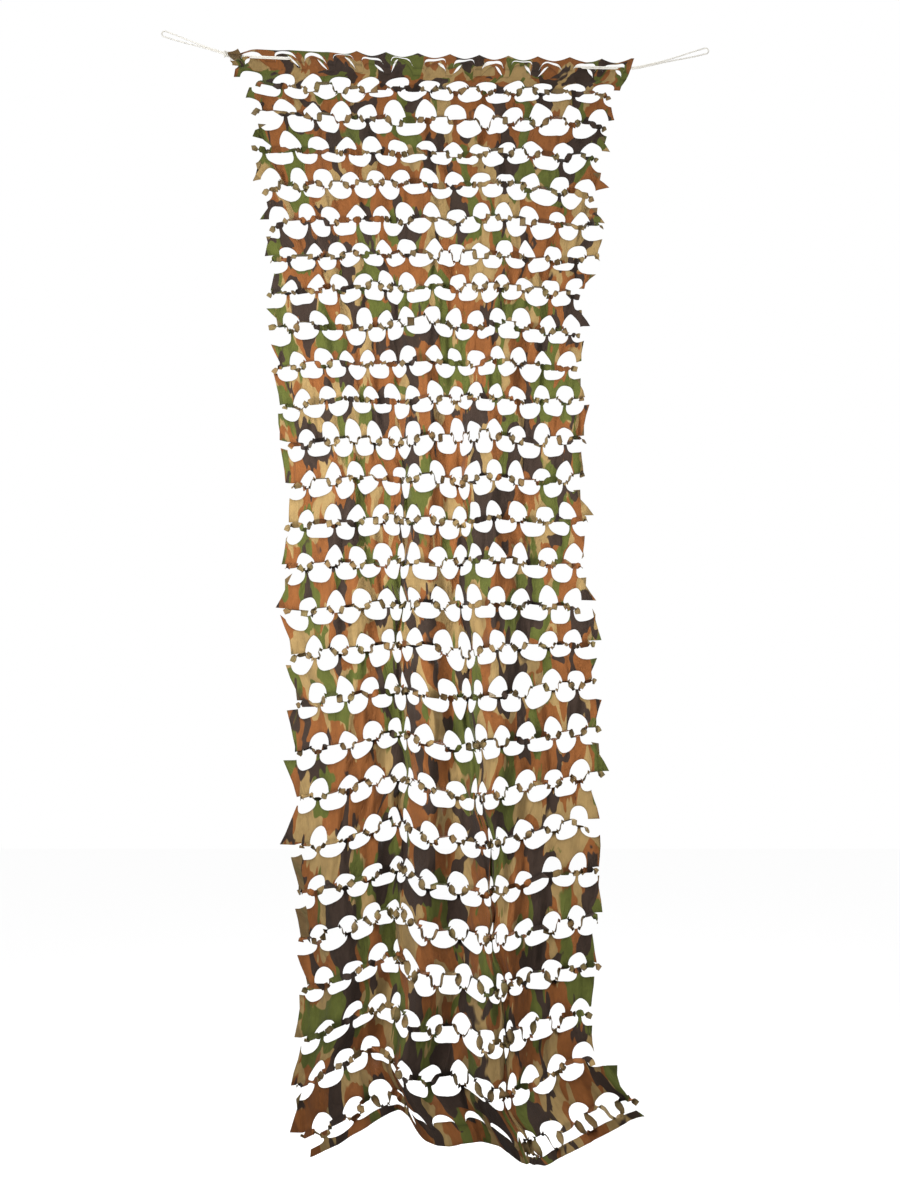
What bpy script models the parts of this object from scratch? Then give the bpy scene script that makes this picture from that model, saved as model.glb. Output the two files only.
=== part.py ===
"""Leaf-cut camouflage net hanging in loose folds from a doubled cord.

Metres, +Z up, with the cloth facing -Y. The origin is the middle of the cord's left loop, where
a hook takes it. The net is one printed sheet whose staggered cuts open into domes above and
bowls below a line of thin links. Its cuts stand at about one and a half times the real pitch.
"""

import math

import bmesh
import bpy

# Cord
CORD_DIAMETER = 0.004
STRAND_GAP = 0.0004
LOOP_RADIUS = 0.0085
LEFT_REACH = 0.194          # middle of the left loop to the net's left corner, along X
LEFT_FALL = 0.065           # the same, down
RIGHT_REACH = 0.199
RIGHT_FALL = 0.051
NET_SPAN = 1.115            # corner to corner along the cord
SPAN_FALL = 0.036           # the right corner hangs lower than the left one
SPAN_SAG = 0.004
FREE_SAG = 0.0015
CORNER_ROUND = 0.020        # the cord bends over this length on each side of a corner
SPREAD_START = 0.35         # share of a free stretch before its two strands part
SPAN_STEPS = 16
FREE_STEPS = 3
LOOP_STEPS = 8
TUBE_DETAIL = 2             # bevel resolution

# Lashing that joins the cord's ends
KNOT_OUT = 0.018            # beyond the net's left corner
KNOT_TURNS = 3.5
KNOT_STEPS = 10             # points a turn
KNOT_PITCH = 0.0046
KNOT_CLEARANCE = 0.0007
KNOT_TAIL = 0.014

# Cloth
THICKNESS = 0.0015
CORD_CLEARANCE = 0.0006
ROWS = 18
FIRST_ROW = 0.25            # in rows of the real net, which the tables below count too
ROW_STEP = 1.44
TOP_EDGE_ROW = -0.75
HEM_ROW = 26.35
WOVEN_ROWS = 0.2            # the cloth passes round the cord above this row
DOME_GROUPS = (1, 3, 3, 1)  # domes a row, with a wide tooth between one group and the next
EDGE_MARGIN = 0.55          # in column pitches, as are the widths that follow
WIDE_GAP = 1.2
TOOTH = 0.22
WIDE_TOOTH = 0.42
SHOULDER = 0.27             # between an arc's crown and its end
DOME_RISE = 0.68            # in rows, up from the line of links
BOWL_FALL = 0.64
TIP = 0.13
ARC_POWER = 2.3
EDGE_JAG = 0.012            # how far the ragged side tabs stand out
BACK_TEETH = 3              # one tooth in so many passes behind the cord

# The hanging cloth at some of its rows: the drop below the cord, and its left and right sides
# along X from the net's left corner.
SECTIONS = (
    # row, drop, left, right
    (-0.75, -0.019, 0.000, 1.115),
    (-0.43, -0.008, 0.004, 1.110),
    (0.0, 0.030, 0.022, 1.094),
    (1.0, 0.092, 0.058, 1.048),
    (4.0, 0.370, 0.084, 1.021),
    (8.0, 0.768, 0.122, 0.970),
    (12.0, 1.196, 0.163, 0.953),
    (16.0, 1.661, 0.177, 0.980),
    (20.0, 2.161, 0.180, 0.990),
    (23.0, 2.525, 0.223, 0.978),
    (25.0, 2.775, 0.203, 1.000),
    (26.35, 2.940, 0.245, 1.092),
)
ROW, DROP, LEFT, RIGHT = range(4)

# Lines down the cloth: their places at the top and at the hem as fractions of its width, their
# depth along Y at mid height and at the hem, to the back, and how far the hem rises there.
FOLDS = (
    # top, hem, depth_mid, depth_hem, lift
    (0.00, 0.00, 0.012, 0.030, -0.030),    # left edge
    (0.17, 0.13, -0.026, -0.055, 0.040),   # left panel
    (0.41, 0.26, 0.030, 0.060, 0.100),     # left pleat
    (0.50, 0.43, -0.022, -0.045, 0.008),   # centre panel
    (0.60, 0.59, 0.030, 0.040, -0.006),    # right pleat
    (0.74, 0.69, -0.030, -0.085, -0.052),  # right lobe
    (0.88, 0.87, 0.014, 0.030, 0.004),     # right hollow
    (1.00, 1.00, -0.006, 0.000, 0.074),    # right edge
)
FOLD_TOP, FOLD_HEM, DEPTH_MID, DEPTH_HEM, LIFT = range(5)
FLAT_ROW = 0.6              # the cloth is flat above this row
MID_ROW = 13.0
LIFT_POWER = 1.4
TILT_ROWS = 3.0             # rows over which the cord's slope fades out of the cloth


def clear_scene():
    for thing in list(bpy.data.objects):
        bpy.data.objects.remove(thing, do_unlink=True)


def new_collection(name):
    collection = bpy.data.collections.new(name)
    bpy.context.scene.collection.children.link(collection)
    return collection


def plain_material(name, colour, roughness):
    made = bpy.data.materials.new(name)
    made.use_nodes = True
    shader = made.node_tree.nodes["Principled BSDF"]
    shader.inputs["Base Color"].default_value = (*colour, 1.0)
    shader.inputs["Roughness"].default_value = roughness
    shader.inputs["Metallic"].default_value = 0.0
    return made


def smooth_step(t):
    t = max(0.0, min(t, 1.0))
    return t * t * (3 - 2 * t)


def smooth_through(keys, values, at):
    """Height at one place of a smooth curve through (key, value) points, level past its ends."""
    if at <= keys[0]:
        return values[0]
    if at >= keys[-1]:
        return values[-1]
    last = len(keys) - 1
    i = max(k for k in range(last) if keys[k] <= at)

    def slope(k):
        before, after = max(k - 1, 0), min(k + 1, last)
        return (values[after] - values[before]) / (keys[after] - keys[before])

    span = keys[i + 1] - keys[i]
    t = (at - keys[i]) / span
    start = values[i] * (1 + 2 * t) * (1 - t) ** 2 + slope(i) * span * t * (1 - t) ** 2
    end = values[i + 1] * t * t * (3 - 2 * t) - slope(i + 1) * span * t * t * (1 - t)
    return start + end


# ---- the cord ----


def span_height(x):
    """Height of the cord's middle along the net, from its left corner."""
    along = x / NET_SPAN
    return -SPAN_FALL * along - SPAN_SAG * 4 * along * (1 - along)


def rounded_corner(x, free_slope, span_slope):
    """Height near a corner, x beyond it, where one straight run bends into the other."""
    reach = max(-CORNER_ROUND, min(x, CORNER_ROUND))
    bend = (free_slope - span_slope) * (reach + CORNER_ROUND) ** 2 / (4 * CORNER_ROUND)
    return bend + (free_slope - span_slope) * max(0.0, x - CORNER_ROUND)


def cord_height(x):
    """Height of the doubled cord's middle, all along, from the net's left corner."""
    inside = max(0.0, min(x, NET_SPAN))
    end_slope = 4 * SPAN_SAG / NET_SPAN
    left_slope = SPAN_FALL / NET_SPAN + end_slope
    right_slope = -SPAN_FALL / NET_SPAN + end_slope
    height = span_height(inside)
    height += left_slope * max(0.0, -x) + right_slope * max(0.0, x - NET_SPAN)
    height += rounded_corner(-x, LEFT_FALL / LEFT_REACH, left_slope)
    height += rounded_corner(x - NET_SPAN, RIGHT_FALL / RIGHT_REACH, right_slope)
    for reach, beyond in ((LEFT_REACH, -x), (RIGHT_REACH, x - NET_SPAN)):
        if 0 < beyond < reach:
            height -= FREE_SAG * 4 * (beyond / reach) * (1 - beyond / reach)
    return height


def strand_offset(x):
    """Distance of each strand from the doubled cord's middle."""
    reach = LEFT_REACH if x < 0 else RIGHT_REACH
    beyond = max(-x, x - NET_SPAN, 0.0) / reach
    together = (CORD_DIAMETER + STRAND_GAP) / 2
    parting = smooth_step((beyond - SPREAD_START) / (1 - SPREAD_START))
    return together + (LOOP_RADIUS - together) * parting


def stations():
    """Places along X of the cord's points, from the left loop's middle to the right one's."""
    left = [-LEFT_REACH + (LEFT_REACH - 2 * CORNER_ROUND) * k / FREE_STEPS for k in range(FREE_STEPS)]
    right = [NET_SPAN + 2 * CORNER_ROUND + (RIGHT_REACH - 2 * CORNER_ROUND) * k / FREE_STEPS
             for k in range(1, FREE_STEPS + 1)]
    corner = [CORNER_ROUND * k for k in (-2, -1, 0, 1)]
    first, last = 2 * CORNER_ROUND, NET_SPAN - 2 * CORNER_ROUND
    span = [first + (last - first) * k / SPAN_STEPS for k in range(SPAN_STEPS + 1)]
    far_corner = [NET_SPAN - x for x in reversed(corner)]
    return left + corner + span + far_corner + right


def strand_points(side):
    return [(x, 0.0, cord_height(x) + side * strand_offset(x)) for x in stations()]


def loop_points(x, outward):
    """The half turn of a loop, from its lower strand to its upper one."""
    points = []
    for step in range(1, LOOP_STEPS):
        angle = -math.pi / 2 + math.pi * step / LOOP_STEPS
        points.append(
            (x + outward * LOOP_RADIUS * math.cos(angle), 0.0,
             cord_height(x) + LOOP_RADIUS * math.sin(angle))
        )
    return points


def cord_points():
    """The whole cord, from its first end in the lashing round both loops to its last."""
    lower, upper = strand_points(-1), strand_points(1)
    joint = (-KNOT_OUT, 0.0, cord_height(-KNOT_OUT) - strand_offset(-KNOT_OUT))
    start = (joint[0] + STRAND_GAP, 0.0, joint[2])
    end = (joint[0] - STRAND_GAP, 0.0, joint[2])
    inward = [p for p in lower if p[0] > joint[0] + CORD_DIAMETER]
    outward = [p for p in lower if p[0] < joint[0] - CORD_DIAMETER]
    points = [start] + inward + loop_points(NET_SPAN + RIGHT_REACH, 1) + upper[::-1]
    return points + loop_points(-LEFT_REACH, -1)[::-1] + outward + [end]


def knot_points():
    """Turns laid round both strands, with a short tail hanging at the front and at the back."""
    radius = CORD_DIAMETER / 2
    half_depth = 2 * radius + KNOT_CLEARANCE
    half_height = strand_offset(-KNOT_OUT) + half_depth
    steps = round(KNOT_TURNS * KNOT_STEPS)
    points = []
    for step in range(steps + 1):
        turn = step / KNOT_STEPS
        x = -KNOT_OUT + (turn - KNOT_TURNS / 2) * KNOT_PITCH
        angle = 2 * math.pi * turn
        points.append(
            (x, -half_depth * math.cos(angle), cord_height(x) + half_height * math.sin(angle))
        )
    first, last = points[0], points[-1]
    tail = [(first[0], first[1], first[2] - KNOT_TAIL * share) for share in (1.0, 0.5)]
    far_tail = [(last[0], last[1], last[2] - KNOT_TAIL * share) for share in (0.5, 1.0)]
    return tail + points + far_tail


def tube(name, points, surface, collection):
    curve = bpy.data.curves.new(name, "CURVE")
    curve.dimensions = "3D"
    curve.bevel_depth = CORD_DIAMETER / 2
    curve.bevel_resolution = TUBE_DETAIL
    curve.use_fill_caps = True
    spline = curve.splines.new("POLY")
    spline.points.add(len(points) - 1)
    for point, place in zip(spline.points, points):
        point.co = (*place, 1.0)
    curve.materials.append(surface)
    made = bpy.data.objects.new(name, curve)
    collection.objects.link(made)
    return made


# ---- the cloth ----


def section(row, column):
    return smooth_through([s[ROW] for s in SECTIONS], [s[column] for s in SECTIONS], row)


def fold(across, row, column):
    """Depth or lift of the cloth at a fraction of its width."""
    down = max(0.0, min(row / HEM_ROW, 1.0)) ** 2
    keys = [f[FOLD_TOP] + (f[FOLD_HEM] - f[FOLD_TOP]) * down for f in FOLDS]
    return smooth_through(keys, [f[column] for f in FOLDS], across)


def hang(across, row):
    """Place of a point of the hanging cloth, from the net's left corner."""
    left, right = section(row, LEFT), section(row, RIGHT)
    x = left + (right - left) * across
    tilt = span_height(x) * math.exp(-max(row, 0.0) / TILT_ROWS)
    to_hem = max(0.0, (row - MID_ROW) / (HEM_ROW - MID_ROW))
    z = tilt - section(row, DROP) + fold(across, row, LIFT) * to_hem**LIFT_POWER
    to_mid = smooth_step((row - FLAT_ROW) / (MID_ROW - FLAT_ROW))
    mid, hem = fold(across, row, DEPTH_MID), fold(across, row, DEPTH_HEM)
    return x, mid * to_mid + (hem - mid) * to_hem, z


def dome_centres():
    """Dome centres along a row and the row's whole width, in column pitches."""
    centres = []
    at = EDGE_MARGIN
    for count in DOME_GROUPS:
        for number in range(count):
            if centres:
                at += WIDE_GAP if number == 0 else 1.0
            centres.append(at)
    return centres, at + EDGE_MARGIN


def tooth_side(number):
    """1 for a tooth of the top band that passes behind the cord, -1 for one in front."""
    return 1 if number % BACK_TEETH == 1 else -1


def row_samples():
    """Samples along a row, shared by the scalloped edges above and below its links.

    "dome" and "bowl" are a sample's offset from the middle of the dome over it and of the bowl
    under it, over that arc's half width, or None on a tooth's middle. "side" is the side of the
    cord on which the top band passes there.
    """
    centres, width = dome_centres()
    samples = []

    def add(place, dome, bowl, side):
        samples.append({"across": place / width, "dome": dome, "bowl": bowl, "side": side})

    bounds = [-centres[0] + 2 * EDGE_MARGIN - 1] + centres
    bounds.append(centres[-1] + 1)
    for number, (before, after) in enumerate(zip(bounds, bounds[1:])):
        gap = after - before
        middle = (before + after) / 2
        tooth = (WIDE_TOOTH if gap > 1.01 else TOOTH) / 2
        bowl_reach, dome_reach = (gap - TOOTH) / 2, gap / 2 - tooth
        side = tooth_side(number)
        if number > 0:
            add(before + TOOTH / 2, TOOTH / 2 / dome_reach, 1.0, side)
            add(before + SHOULDER, SHOULDER / dome_reach, (gap / 2 - SHOULDER) / bowl_reach, side)
            add(middle - tooth, 1.0, tooth / bowl_reach, side)
        add(middle, None, 0.0, side)
        if number < len(centres):
            add(middle + tooth, 1.0, tooth / bowl_reach, side)
            add(after - SHOULDER, SHOULDER / dome_reach, (gap / 2 - SHOULDER) / bowl_reach, side)
            add(after - TOOTH / 2, TOOTH / 2 / dome_reach, 1.0, side)
            add(after, 0.0, None, (side + tooth_side(number + 1)) / 2)
    samples[0]["across"], samples[-1]["across"] = 0.0, 1.0
    return samples


def arc(offset):
    return max(0.0, 1 - offset**ARC_POWER) ** (1 / ARC_POWER)


def dome_edge(sample, row):
    """Row of the edge above a line of links: domes, with teeth between them."""
    rise = 0.0 if sample["dome"] is None else (DOME_RISE - TIP) * arc(sample["dome"])
    return row - TIP - rise


def bowl_edge(sample, row):
    """Row of the edge below a line of links: bowls, with teeth between them."""
    fall = 0.0 if sample["bowl"] is None else (BOWL_FALL - TIP) * arc(sample["bowl"])
    return row + TIP + fall


def cloth_point(sample, row):
    """Place of a sample on the cloth, passed round the cord in the top band."""
    x, y, z = hang(sample["across"], row)
    if row < WOVEN_ROWS:
        y += sample["side"] * (CORD_DIAMETER / 2 + THICKNESS / 2 + CORD_CLEARANCE)
    elif sample["across"] in (0.0, 1.0):
        outward = 1 if sample["across"] == 1.0 else -1
        x += outward * EDGE_JAG * math.sin(2.3 * row + 1.7 * outward)
    return x, y, z


def build_net(surface, collection):
    samples = row_samples()
    lines = [FIRST_ROW + ROW_STEP * k for k in range(ROWS)]
    mesh = bmesh.new()

    def line_of_points(edge, row):
        return [mesh.verts.new(cloth_point(s, edge(s, row) if edge else row)) for s in samples]

    top = line_of_points(None, TOP_EDGE_ROW)
    for row in lines:
        teeth = line_of_points(dome_edge, row)
        strip(mesh, top, teeth)
        top = line_of_points(bowl_edge, row)
        add_links(mesh, samples, teeth, top)
    strip(mesh, top, line_of_points(None, HEM_ROW))
    data = bpy.data.meshes.new("net")
    mesh.to_mesh(data)
    mesh.free()
    data.materials.append(surface)
    net = bpy.data.objects.new("net", data)
    collection.objects.link(net)
    solid = net.modifiers.new("cloth thickness", "SOLIDIFY")
    solid.thickness = THICKNESS
    solid.offset = 0.0
    return net


def strip(mesh, upper, lower):
    """A band of cloth between two lines of points."""
    for a, b, c, d in zip(upper, lower, lower[1:], upper[1:]):
        mesh.faces.new((a, b, c, d))


def add_links(mesh, samples, teeth, lower_teeth):
    """Links from each tooth above to the teeth on both sides of it below."""
    above = [i for i, s in enumerate(samples) if s["dome"] is None]
    below = [i for i, s in enumerate(samples) if s["bowl"] is None]
    for number, low in enumerate(below):
        left, right = above[number], above[number + 1]
        mesh.faces.new((teeth[left], lower_teeth[low - 1], lower_teeth[low], teeth[left + 1]))
        mesh.faces.new((teeth[right - 1], lower_teeth[low], lower_teeth[low + 1], teeth[right]))


def main():
    clear_scene()
    collection = new_collection("camouflage_net")
    print_cloth = plain_material("camouflage_cloth", (0.16, 0.13, 0.06), 0.75)
    cord_white = plain_material("white_cord", (0.80, 0.78, 0.72), 0.6)
    corner = bpy.data.objects.new("left_corner", None)
    corner.location = (LEFT_REACH, 0.0, -cord_height(-LEFT_REACH))
    collection.objects.link(corner)
    pieces = (
        build_net(print_cloth, collection),
        tube("cord", cord_points(), cord_white, collection),
        tube("cord_knot", knot_points(), cord_white, collection),
    )
    for piece in pieces:
        piece.parent = corner


main()
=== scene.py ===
"""The dressed camouflage net: its whole leaf-cut cloth, print, folds and hanging cord.

Metres, in the part's own frame: +Z up, -Y out of the printed face, and the origin in the middle
of the cord's left loop. Along a row, places are in column pitches from the net's left side, and
down the net they are in rows of cuts, counted from the top one.
"""

import random
from math import acos, cos, exp, pi, radians, sin

import bpy
from mathutils import Matrix, Vector, noise


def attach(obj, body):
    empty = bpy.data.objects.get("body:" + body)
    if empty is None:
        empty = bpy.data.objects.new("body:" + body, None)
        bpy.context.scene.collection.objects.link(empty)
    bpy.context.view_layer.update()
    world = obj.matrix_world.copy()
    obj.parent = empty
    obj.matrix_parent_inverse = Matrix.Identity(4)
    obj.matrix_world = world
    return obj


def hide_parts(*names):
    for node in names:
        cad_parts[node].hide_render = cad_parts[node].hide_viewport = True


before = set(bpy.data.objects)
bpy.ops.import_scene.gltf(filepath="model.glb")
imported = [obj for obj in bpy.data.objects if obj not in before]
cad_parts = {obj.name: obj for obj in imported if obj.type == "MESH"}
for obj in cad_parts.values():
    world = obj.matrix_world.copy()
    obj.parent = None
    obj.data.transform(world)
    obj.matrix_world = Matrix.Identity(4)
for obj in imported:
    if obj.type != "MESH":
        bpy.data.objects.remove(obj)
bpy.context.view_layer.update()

# ---- sizes shared with the part ----

CORD_DIAMETER = 0.004
STRAND_GAP = 0.0004
LOOP_RADIUS = 0.0085
LEFT_REACH = 0.194  # middle of the left loop to the net's left corner, along X
LEFT_FALL = 0.065  # the same, down
RIGHT_REACH = 0.199
RIGHT_FALL = 0.051
NET_SPAN = 1.115  # corner to corner along the cord
SPAN_FALL = 0.036  # the right corner hangs lower than the left one
SPAN_SAG = 0.004
FREE_SAG = 0.0015
CORNER_ROUND = 0.020  # the cord bends over this length on each side of a corner
SPREAD_START = 0.35  # share of a free stretch before its two strands part
KNOT_OUT = 0.018  # beyond the net's left corner
KNOT_TURNS = 3.5
KNOT_PITCH = 0.0046
KNOT_CLEARANCE = 0.0007
KNOT_TAIL = 0.014
KNOT_STEPS = 28  # a turn
TAIL_POINTS = 8
CORD_CLEARANCE = 0.0006
TOP_EDGE_ROW = -0.75
HEM_ROW = 26.35
WIDE_GAP = 1.2  # between two groups of domes, in pitches
TILT_ROWS = 3.0  # rows over which the cord's slope fades out of the cloth
MID_ROW = 13.0
FLAT_ROW = 0.6  # the cloth is flat above this row
LIFT_POWER = 1.4

# The hanging cloth at some of its rows: the drop below the cord, and its left and right sides
# along X from the net's left corner.
SECTIONS = (
    # row, drop, left, right
    (-0.75, -0.019, 0.000, 1.115),
    (-0.43, -0.008, 0.004, 1.110),
    (0.0, 0.030, 0.022, 1.094),
    (1.0, 0.086, 0.058, 1.048),
    (4.0, 0.370, 0.084, 1.021),
    (8.0, 0.768, 0.122, 0.970),
    (12.0, 1.196, 0.163, 0.953),
    (16.0, 1.661, 0.178, 0.978),
    (20.0, 2.161, 0.194, 0.984),
    (23.0, 2.525, 0.224, 0.968),
    (25.0, 2.775, 0.200, 0.980),
    (26.35, 2.940, 0.245, 1.092),
)
DROP, LEFT, RIGHT = range(1, 4)

# Lines down the cloth: their places at the top, at the low row and at the hem as fractions of its
# width, their depth along Y at mid height and at the hem, to the back, and how far the cloth
# rises there at the low row and at the hem.
FOLDS = (
    # top, low, hem, depth_mid, depth_hem, lift_low, lift_hem
    (0.00, 0.00, 0.00, 0.012, 0.030, -0.030, -0.030),    # left edge
    (0.17, 0.16, 0.13, -0.026, -0.055, 0.030, 0.040),    # left panel
    (0.41, 0.34, 0.27, 0.030, 0.060, 0.100, 0.080),      # left pleat
    (0.50, 0.44, 0.35, -0.022, -0.045, 0.010, 0.018),    # centre panel
    (0.60, 0.54, 0.56, 0.030, 0.040, -0.012, 0.000),     # right pleat
    (0.74, 0.66, 0.665, -0.030, -0.085, -0.022, -0.034),  # right lobe
    (0.88, 0.79, 0.86, 0.014, 0.030, 0.020, 0.012),      # right hollow
    (1.00, 1.00, 1.00, -0.006, 0.000, 0.060, 0.074),     # right edge
)
DEPTH_MID, DEPTH_HEM, LIFT_LOW, LIFT_HEM = range(3, 7)
LOW_ROW = 20.0

# ---- the cloth's own sizes ----

SEED = 7
NEAR = 1e-6  # places and gaps closer than this are one
CLOTH_THICKNESS = 0.0007
COLUMN_PITCH = 0.080  # metres in the flat cloth
ROW_PITCH = 0.075
HUNG_PITCH = 0.108  # a row's height once its cuts have opened

# The cuts, in pitches along a row and in rows down the net
ROWS = 27
DOME_GROUPS = (1, 5, 5, 2)  # domes a row, with a wide tooth between one group and the next
EDGE_MARGIN = 0.6  # from a row's end to its first dome
TOOTH = 0.13  # width of a lower tooth
UPPER_TOOTH = 0.24
WIDE_TOOTH = 0.38
DOME_RISE = 0.45
BOWL_FALL = 0.405
HEM_BOWL = 0.20
DOME_POWER = 2.05  # an arc's roundness: 2 is an ellipse, more is squarer
BOWL_POWER = 2.7
POWER_SPREAD = {"dome": (-0.65, 0.35), "bowl": (-1.0, 0.35)}
SIZE_SPREAD = (-0.20, 0.14)
SKEW = 0.14  # how far an arc's crown may lean to one side
ARC_STEPS = 8
BAND_STEPS = 3
LEAST_BAND = 0.05  # height of a band where two cuts almost meet
CLOSED_PLACES = (4.6, 8.9)  # here the last row's cuts lie closed, but for their crescents
HEM_CRESCENT = {"reach": 0.30, "power": 2.1, "skew": 0.0, "open": 0.15, "lean": 0.4}
CRESCENT = (0.05, 0.13)  # how far a closed cut's crescent stands open
CRESCENT_LEAN = 0.5
CRESCENT_POWER = 0.8
FIRST_GAPE = 1.8  # how much wider the first row's crescents stand open
CORD_GAPE = 0.22  # a crescent that the cord passes through
SLIT = 0.11  # height of the short slits beside the first row's crowns
SLIT_SHIFT = 0.22
SLIT_REACH = 0.15
SLIT_LEAN = -0.2  # it lies on the right where the crescent leans further than this

# The top edge
BACK_TEETH = (1, 12)  # the teeth of the first row that pass behind the cord
CHANGE_REACH = 0.22  # pitches over which the cloth changes sides of the cord
WOVEN_ROWS = 0.10
WOVEN_FADE = 0.35
SCALLOP = 0.013  # height of the top edge's points over the teeth, in metres
SCALLOP_POWER = 1.6
SCALLOP_MEAN = 0.3
SCALLOP_START = 3.0  # the left corner is flat as far as this pitch
SCALLOP_FADE = 1.5
BUNCH_REACH = 0.9  # the left corner is bunched on the cord as far as this pitch
BUNCH_SHARE = 0.45
BUNCH_DEPTH = 0.005
BUNCH_START, BUNCH_FADE = 0.6, 0.4
BUNCH_RIPPLES = (9.0, 4.0)  # a row and a pitch

# The side cuts, in pitches
RAGGED = 0.30  # how far a band's end may stand out from the side cut
RAGGED_IN = 0.4  # share of that by which it may stand in
FIN = 0.75  # how far a band's end slants
SIDE_ROOM = 0.04  # from a band's end to its first sample
WOVEN_SIDES = (0.0, 13.8)  # where the first row's bands end
CORNER_TAB = 0.22  # how far the next band's corner stands out
SCROLL_RADIUS = 0.008  # metres, as are the next three
SCROLL_FLAP = 0.022
FOLDED_RADIUS = 0.004
FOLDED_FLAP = 0.024
FOLDED_ENDS = (21, 22)  # bands whose left ends are folded over to the front
ROLL_STEPS = 5  # steps round a fold, and then along its flap
FLAP_STEPS = 3
FLAP_DEPTH = 0.002
FLAP_WAVE = 0.006
FLAP_FALL = 0.008

# The ribbons
LINK_WIDTH = 0.0185
LINK_LENGTH = 0.034
LINK_CUP = 0.0010  # how far a ribbon's middle stands out from its edges
LINK_PLACES = (0.10, 0.19, 0.30, 0.70, 0.81, 0.90)
LONG_PLACES = (0.08, 0.18, 0.34, 0.50, 0.66, 0.82, 0.92)
LONG_DROP = 0.020  # a ribbon that hangs further than this mostly curls
LOW_CURLS = 0.45
LINK_REACH = 0.75  # teeth further apart than this hold no ribbon, in pitches
PATCH_ROUND = 0.55  # how much narrower a turned ribbon is at its two ends
SWEPT_TURN = (0.04, 0.96)  # stretch of a ribbon over which it turns
FLAT_WAY = 0.3  # share of its depth by which a ribbon's turning follows it
SWEEPS = {
    # reach, bulge, stretch of each turn, narrowing at the ends, sample places
    "curled": ((0.85, 1.15), (-0.004, 0.002), 0.12, 0.15, LONG_PLACES),
    "twisted": ((0.10, 0.35), (-0.005, 0.002), 0.24, 0.45, LINK_PLACES),
    "flat": ((0.25, 0.60), (-0.004, 0.004), 0.35, 0.45, LINK_PLACES),
    "edge_on": ((0.30, 0.70), (-0.006, 0.006), 0.35, 0.45, LINK_PLACES),
}
CURL_REACH = (0.55, 1.5, 1.8)  # of a curled ribbon: least, more with its slack, and most
FLAT_TURN = 0.35
EDGE_ON = (-1.0, -0.62, -0.45, 0.45, 0.62, 1.0)  # half turns of a ribbon seen edge-on

# A ribbon's chances: to turn over, to twist, to fold, and to lie flat if it does none of these
TURNED_ODDS = (0.12, 0.45)  # of the tightest, and more for a loose one
UPRIGHT_ODDS = 0.7
TWISTED_ODDS = (0.10, 0.16)
FOLDED_ODDS = 0.08
FLAT_ODDS = 0.5

# A ribbon whose middle hangs upright
TURNED_YAW = 0.8
TURNED_LEAST = 0.35  # least cosine of its yaw
TURNED_LEAN = (-0.30, 0.95)
TURNED_DEPTH = (-0.006, 0.003)
TURNED_SHIFT = 0.16
TURNED_RISE = 0.003
TURNED_SIZE = (0.80, 1.08)
TURNED_PULL = (0.42, 0.002)  # its middle's upright run: a share of its drop, and metres more
TURNED_REACH = (0.42, 0.62)
TURNED_WAIT = 0.20  # shares of a half: before the second one turns, and while each does
TURNED_SHARE = 0.80
TURNED_CUP = 0.0016
FOLD_STEPS = (
    # stage, share of it, depth, width
    (0, 0.55, 0.0, 1.0),
    (0, 1.0, 0.6, 1.0),
    (1, 0.16, 1.0, 0.96),
    (1, 0.5, 1.15, 0.90),
    (1, 0.84, 1.0, 0.96),
    (2, 0.0, 0.6, 1.0),
    (2, 0.45, 0.0, 1.0),
)
FOLD_DEPTH = 0.0035
FOLD_SHIFT = (0.02, 0.16)
FOLD_SPREAD = (0.6, 1.3)
FOLD_CUP = 0.0015
LEAST_FOLDED = 0.008  # a ribbon with less room than this doesn't fold

# The ribbon ends along the side cuts
TAIL_STEPS = 5
TAIL_LENGTH = (0.014, 0.036)
TAIL_FALL = (0.1, 1.5)
TAIL_TURNS = (0.0, 0.6, 1.0, -1.0)
TAIL_HASTE = (1.1, 1.4)  # how early it falls, and turns
TAIL_NARROW = 0.25

# How a tooth's tip turns, from the tightest ribbon to the loosest
LOOSENESS = (0.62, 0.9)  # mean, and the share of the drawn slack
SLACK_WAVES = (0.38, 0.83)  # a pitch and a row
SLACK = 0.5
SWING = (0.0022, 0.0082)  # metres, and metres more for a loose one
ROLL = (0.45, 0.95)
ROLL_SPREAD = 0.25
LOW_SWING = 0.9  # how much longer the ribbons hang near the hem
SWING_START, SWING_ROWS = 20.0, 4.0
CALM_ROW = 24  # from this row down, the ribbons by the left edge hang tight
CALM_PLACE = 2.6
CALM_SIZE = 1.05
CALM_SHARE = 0.2
DEPTH_ROOM = (-0.055, 0.030)  # past these depths the tooth tips turn inwards

# Where the cloth's two side cuts pass through the pattern.
SIDE_CUTS = (
    # row, first pitch, last pitch
    (0.0, 0.10, 13.80),
    (1.0, 0.75, 13.50),
    (2.0, 0.80, 13.45),
    (3.0, 0.50, 13.80),
    (4.0, 0.25, 13.90),
    (6.0, -0.25, 13.90),
    (8.0, -0.25, 13.90),
    (10.0, -0.40, 13.95),
    (12.0, -0.35, 13.90),
    (14.0, -0.05, 13.70),
    (16.0, -0.35, 13.95),
    (18.0, -0.50, 13.80),
    (20.0, -0.40, 13.90),
    (22.0, -0.10, 13.90),
    (24.0, -0.40, 13.60),
    (26.35, 0.00, 13.80),
)
CUT_FIRST, CUT_LAST = 1, 2

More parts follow.
